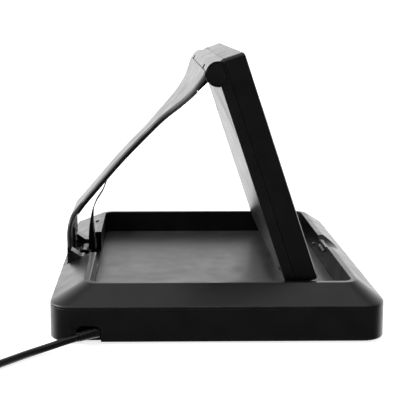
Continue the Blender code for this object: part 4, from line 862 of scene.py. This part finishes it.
# %% Screws
X_AXIS, Y_AXIS = np.array([1.0, 0.0, 0.0]), np.array([0.0, 1.0, 0.0])
for i in range(1, 5):
    screw(f"base_screw_{i}", -Z_AXIS, 0.13, 1.5)
    screw(f"panel_screw_{i}", -PANEL_OUT, 0.8)
for i in range(1, 4):
    screw(f"leaf_screw_{i}", X_AXIS, 0.8)

# %% Feet, buttons and pins
for i in range(1, 5):
    start, length, radius = ends_of(f"foot_{i}", Z_AXIS)
    foot = [(0, 0), (radius - 1.1, 0), (radius - 0.4, 0.15), (radius, 0.7), (radius, length), (0, length)]
    turned(f"foot_{i}_piece", f"foot_{i}", foot, start, Z_AXIS, 48, [0, 0, 1, 0.6, 0, 0])
for node in ("button_1", "button_2"):
    start, length, radius = ends_of(node, BUTTON_OUT)
    dome = [(0, 0), (radius, 0), (radius, length - 0.7), (radius - 0.15, length - 0.3),
            (radius - 0.6, length - 0.1), (0, length)]
    turned(node + "_piece", node, dome, start, BUTTON_OUT, 36, [0, 0, 0, 1, 0.5, 0])
CHAMFER = 0.5
for node, axis in (("arm_hinge_pin", Y_AXIS), ("panel_hinge_pin", Y_AXIS), ("latch_strike", X_AXIS)):
    start, length, radius = ends_of(node, axis)
    radius -= 0.05         # running clearance in the knuckles
    pin = [(0, 0), (radius - CHAMFER, 0), (radius, CHAMFER), (radius, length - CHAMFER),
           (radius - CHAMFER, length), (0, length)]
    turned(node + "_piece", node, pin, start, axis, 32)
print("feet, buttons and pins made; the last pin is", round(float(length), 1), "mm long")

# %% [markdown]
# ## Guard and ribbon cable
# The guard in front of the hinge is a tapering tongue, and the flat cable to the panel runs on from
# it under the arm. Both are bars along a line, as the arm is. The cable's film is pressed between
# its wires, which shows as fine grooves along it.

# %% The guard
guard_line = np.array([(-121.9, 41.6), (-122.2, 52.0), (-122.6, 62.0), (-122.4, 72.0), (-121.2, 83.0)])
guard_thick = np.array([7.6, 6.8, 5.0, 3.0, 1.6])
guard_smooth = smooth_line(np.column_stack([guard_line, guard_thick]), 40)
guard = bar_object("hinge_guard_piece", guard_smooth[:, :2], guard_smooth[:, 2], 16.0, 0.6)
shell_finish(guard)
place_piece(guard, "hinge_guard")
print("guard of", len(guard_smooth), "sections")

# %% The ribbon cable
# Its line runs through the middles of its node's own sections.
ribbon_points = np.empty(len(nodes["ribbon_lead"].data.vertices) * 3)
nodes["ribbon_lead"].data.vertices.foreach_get("co", ribbon_points)
ribbon_points = np.unique(np.round(ribbon_points.reshape(-1, 3) / MM, 3), axis=0)
near_edge = ribbon_points[ribbon_points[:, 1] < 0]
near_edge = near_edge[np.argsort(near_edge[:, 2])]
ribbon_line = smooth_line((near_edge[0::2, [0, 2]] + near_edge[1::2, [0, 2]]) / 2, 40)
# Half the film's thickness is 0.42 mm between the wires, and 0.18 mm more over each one, every 1.5 mm.
wires = np.linspace(-6, 6, 61)
film = 0.42 + 0.18 * np.abs(np.cos(np.pi * wires / 1.5))
outline_y = np.concatenate([wires, wires[::-1]])
outline_n = np.concatenate([film, -film[::-1]])
ribbon_along = np.gradient(ribbon_line, axis=0)
ribbon_along /= np.linalg.norm(ribbon_along, axis=1, keepdims=True)
ribbon = grid_object("ribbon_lead_piece", np.stack([
    ribbon_line[:, :1] - ribbon_along[:, 1:] * outline_n, np.broadcast_to(outline_y, (40, 122)),
    ribbon_line[:, 1:] + ribbon_along[:, :1] * outline_n], -1))
place_piece(ribbon, "ribbon_lead")
print("ribbon of", len(wires), "points across")

# %% [markdown]
# ## Mains plug
# The plug is PVC moulded over two brass blades. Its body narrows to the cord and has shallow ribs for
# the fingers. So its section is a shape between a circle and a box, and its size changes along it.

# %% The plug
plug_low, plug_high = (np.array(c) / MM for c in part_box("mains_plug"))
plug_middle, plug_size = (plug_low + plug_high) / 2, (plug_high - plug_low) / 2
plug_at = np.linspace(0, 1, 61)
# Narrow at the cord, full from a third of the way, and waisted by finger ribs along the middle.
swell = 0.62 + 0.38 * np.clip(plug_at / 0.35, 0, 1) ** 0.7
swell -= 0.045 * (0.5 + 0.5 * np.cos(plug_at * 2 * np.pi * 9)) * (plug_at > 0.3) * (plug_at < 0.8)
swell[[0, -1]] *= 0.93
plug_angle = np.linspace(0, 2 * np.pi, 64, endpoint=False)
# A superellipse: sign(cos) |cos| ** 0.45 across and sign(sin) |sin| ** 0.45 up, between a circle and a box.
plug_x = np.sign(np.cos(plug_angle)) * np.abs(np.cos(plug_angle)) ** 0.45
plug_z = np.sign(np.sin(plug_angle)) * np.abs(np.sin(plug_angle)) ** 0.45
plug = grid_object("mains_plug_piece", np.stack([
    plug_middle[0] + plug_size[0] * swell[:, None] * plug_x,
    np.broadcast_to((plug_low[1] + plug_at * 2 * plug_size[1])[:, None], (61, 64)),
    plug_middle[2] + plug_size[2] * swell[:, None] * plug_z], -1), degrees=40)
place_piece(plug, "mains_plug")
print("plug:", [round(float(v), 1) for v in 2 * plug_size], "mm")

# %% The plug's blades, each with its hole
BLADE_HOLE_RADIUS, HOLE_FROM_END = 1.5, 4.2
for node in ("plug_blade_1", "plug_blade_2"):
    blade = softened(node, 0.25)
    blade.modifiers.clear()
    x, _, z = middle_of(node)
    hole_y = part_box(node)[1][1] / MM - HOLE_FROM_END
    boolean(blade, rod((x - 5, hole_y, z), (x + 5, hole_y, z), BLADE_HOLE_RADIUS, 20))
    smooth_by_angle(blade.data)
    add_bevel(blade, 0.25)
    print(node, "with", len(blade.data.polygons), "faces")

# %% [markdown]
# ## The panel's shells, its lugs and caps, and the latch
# These mouldings have exactly the shape of their nodes, and only their edges are still sharp. The
# tray's lining, the glass and its backing are plain cut sheets, which stay as they are.

# %% Softened copies of the rest
sheets = {"panel_glass", "tray_liner", "platen_backing"}
made_already = {name for name, node in nodes.items() if node.hide_render}
rest = sorted(set(nodes) - made_already - sheets)
for node in rest:
    softened(node, 0.35)
print("softened:", rest)
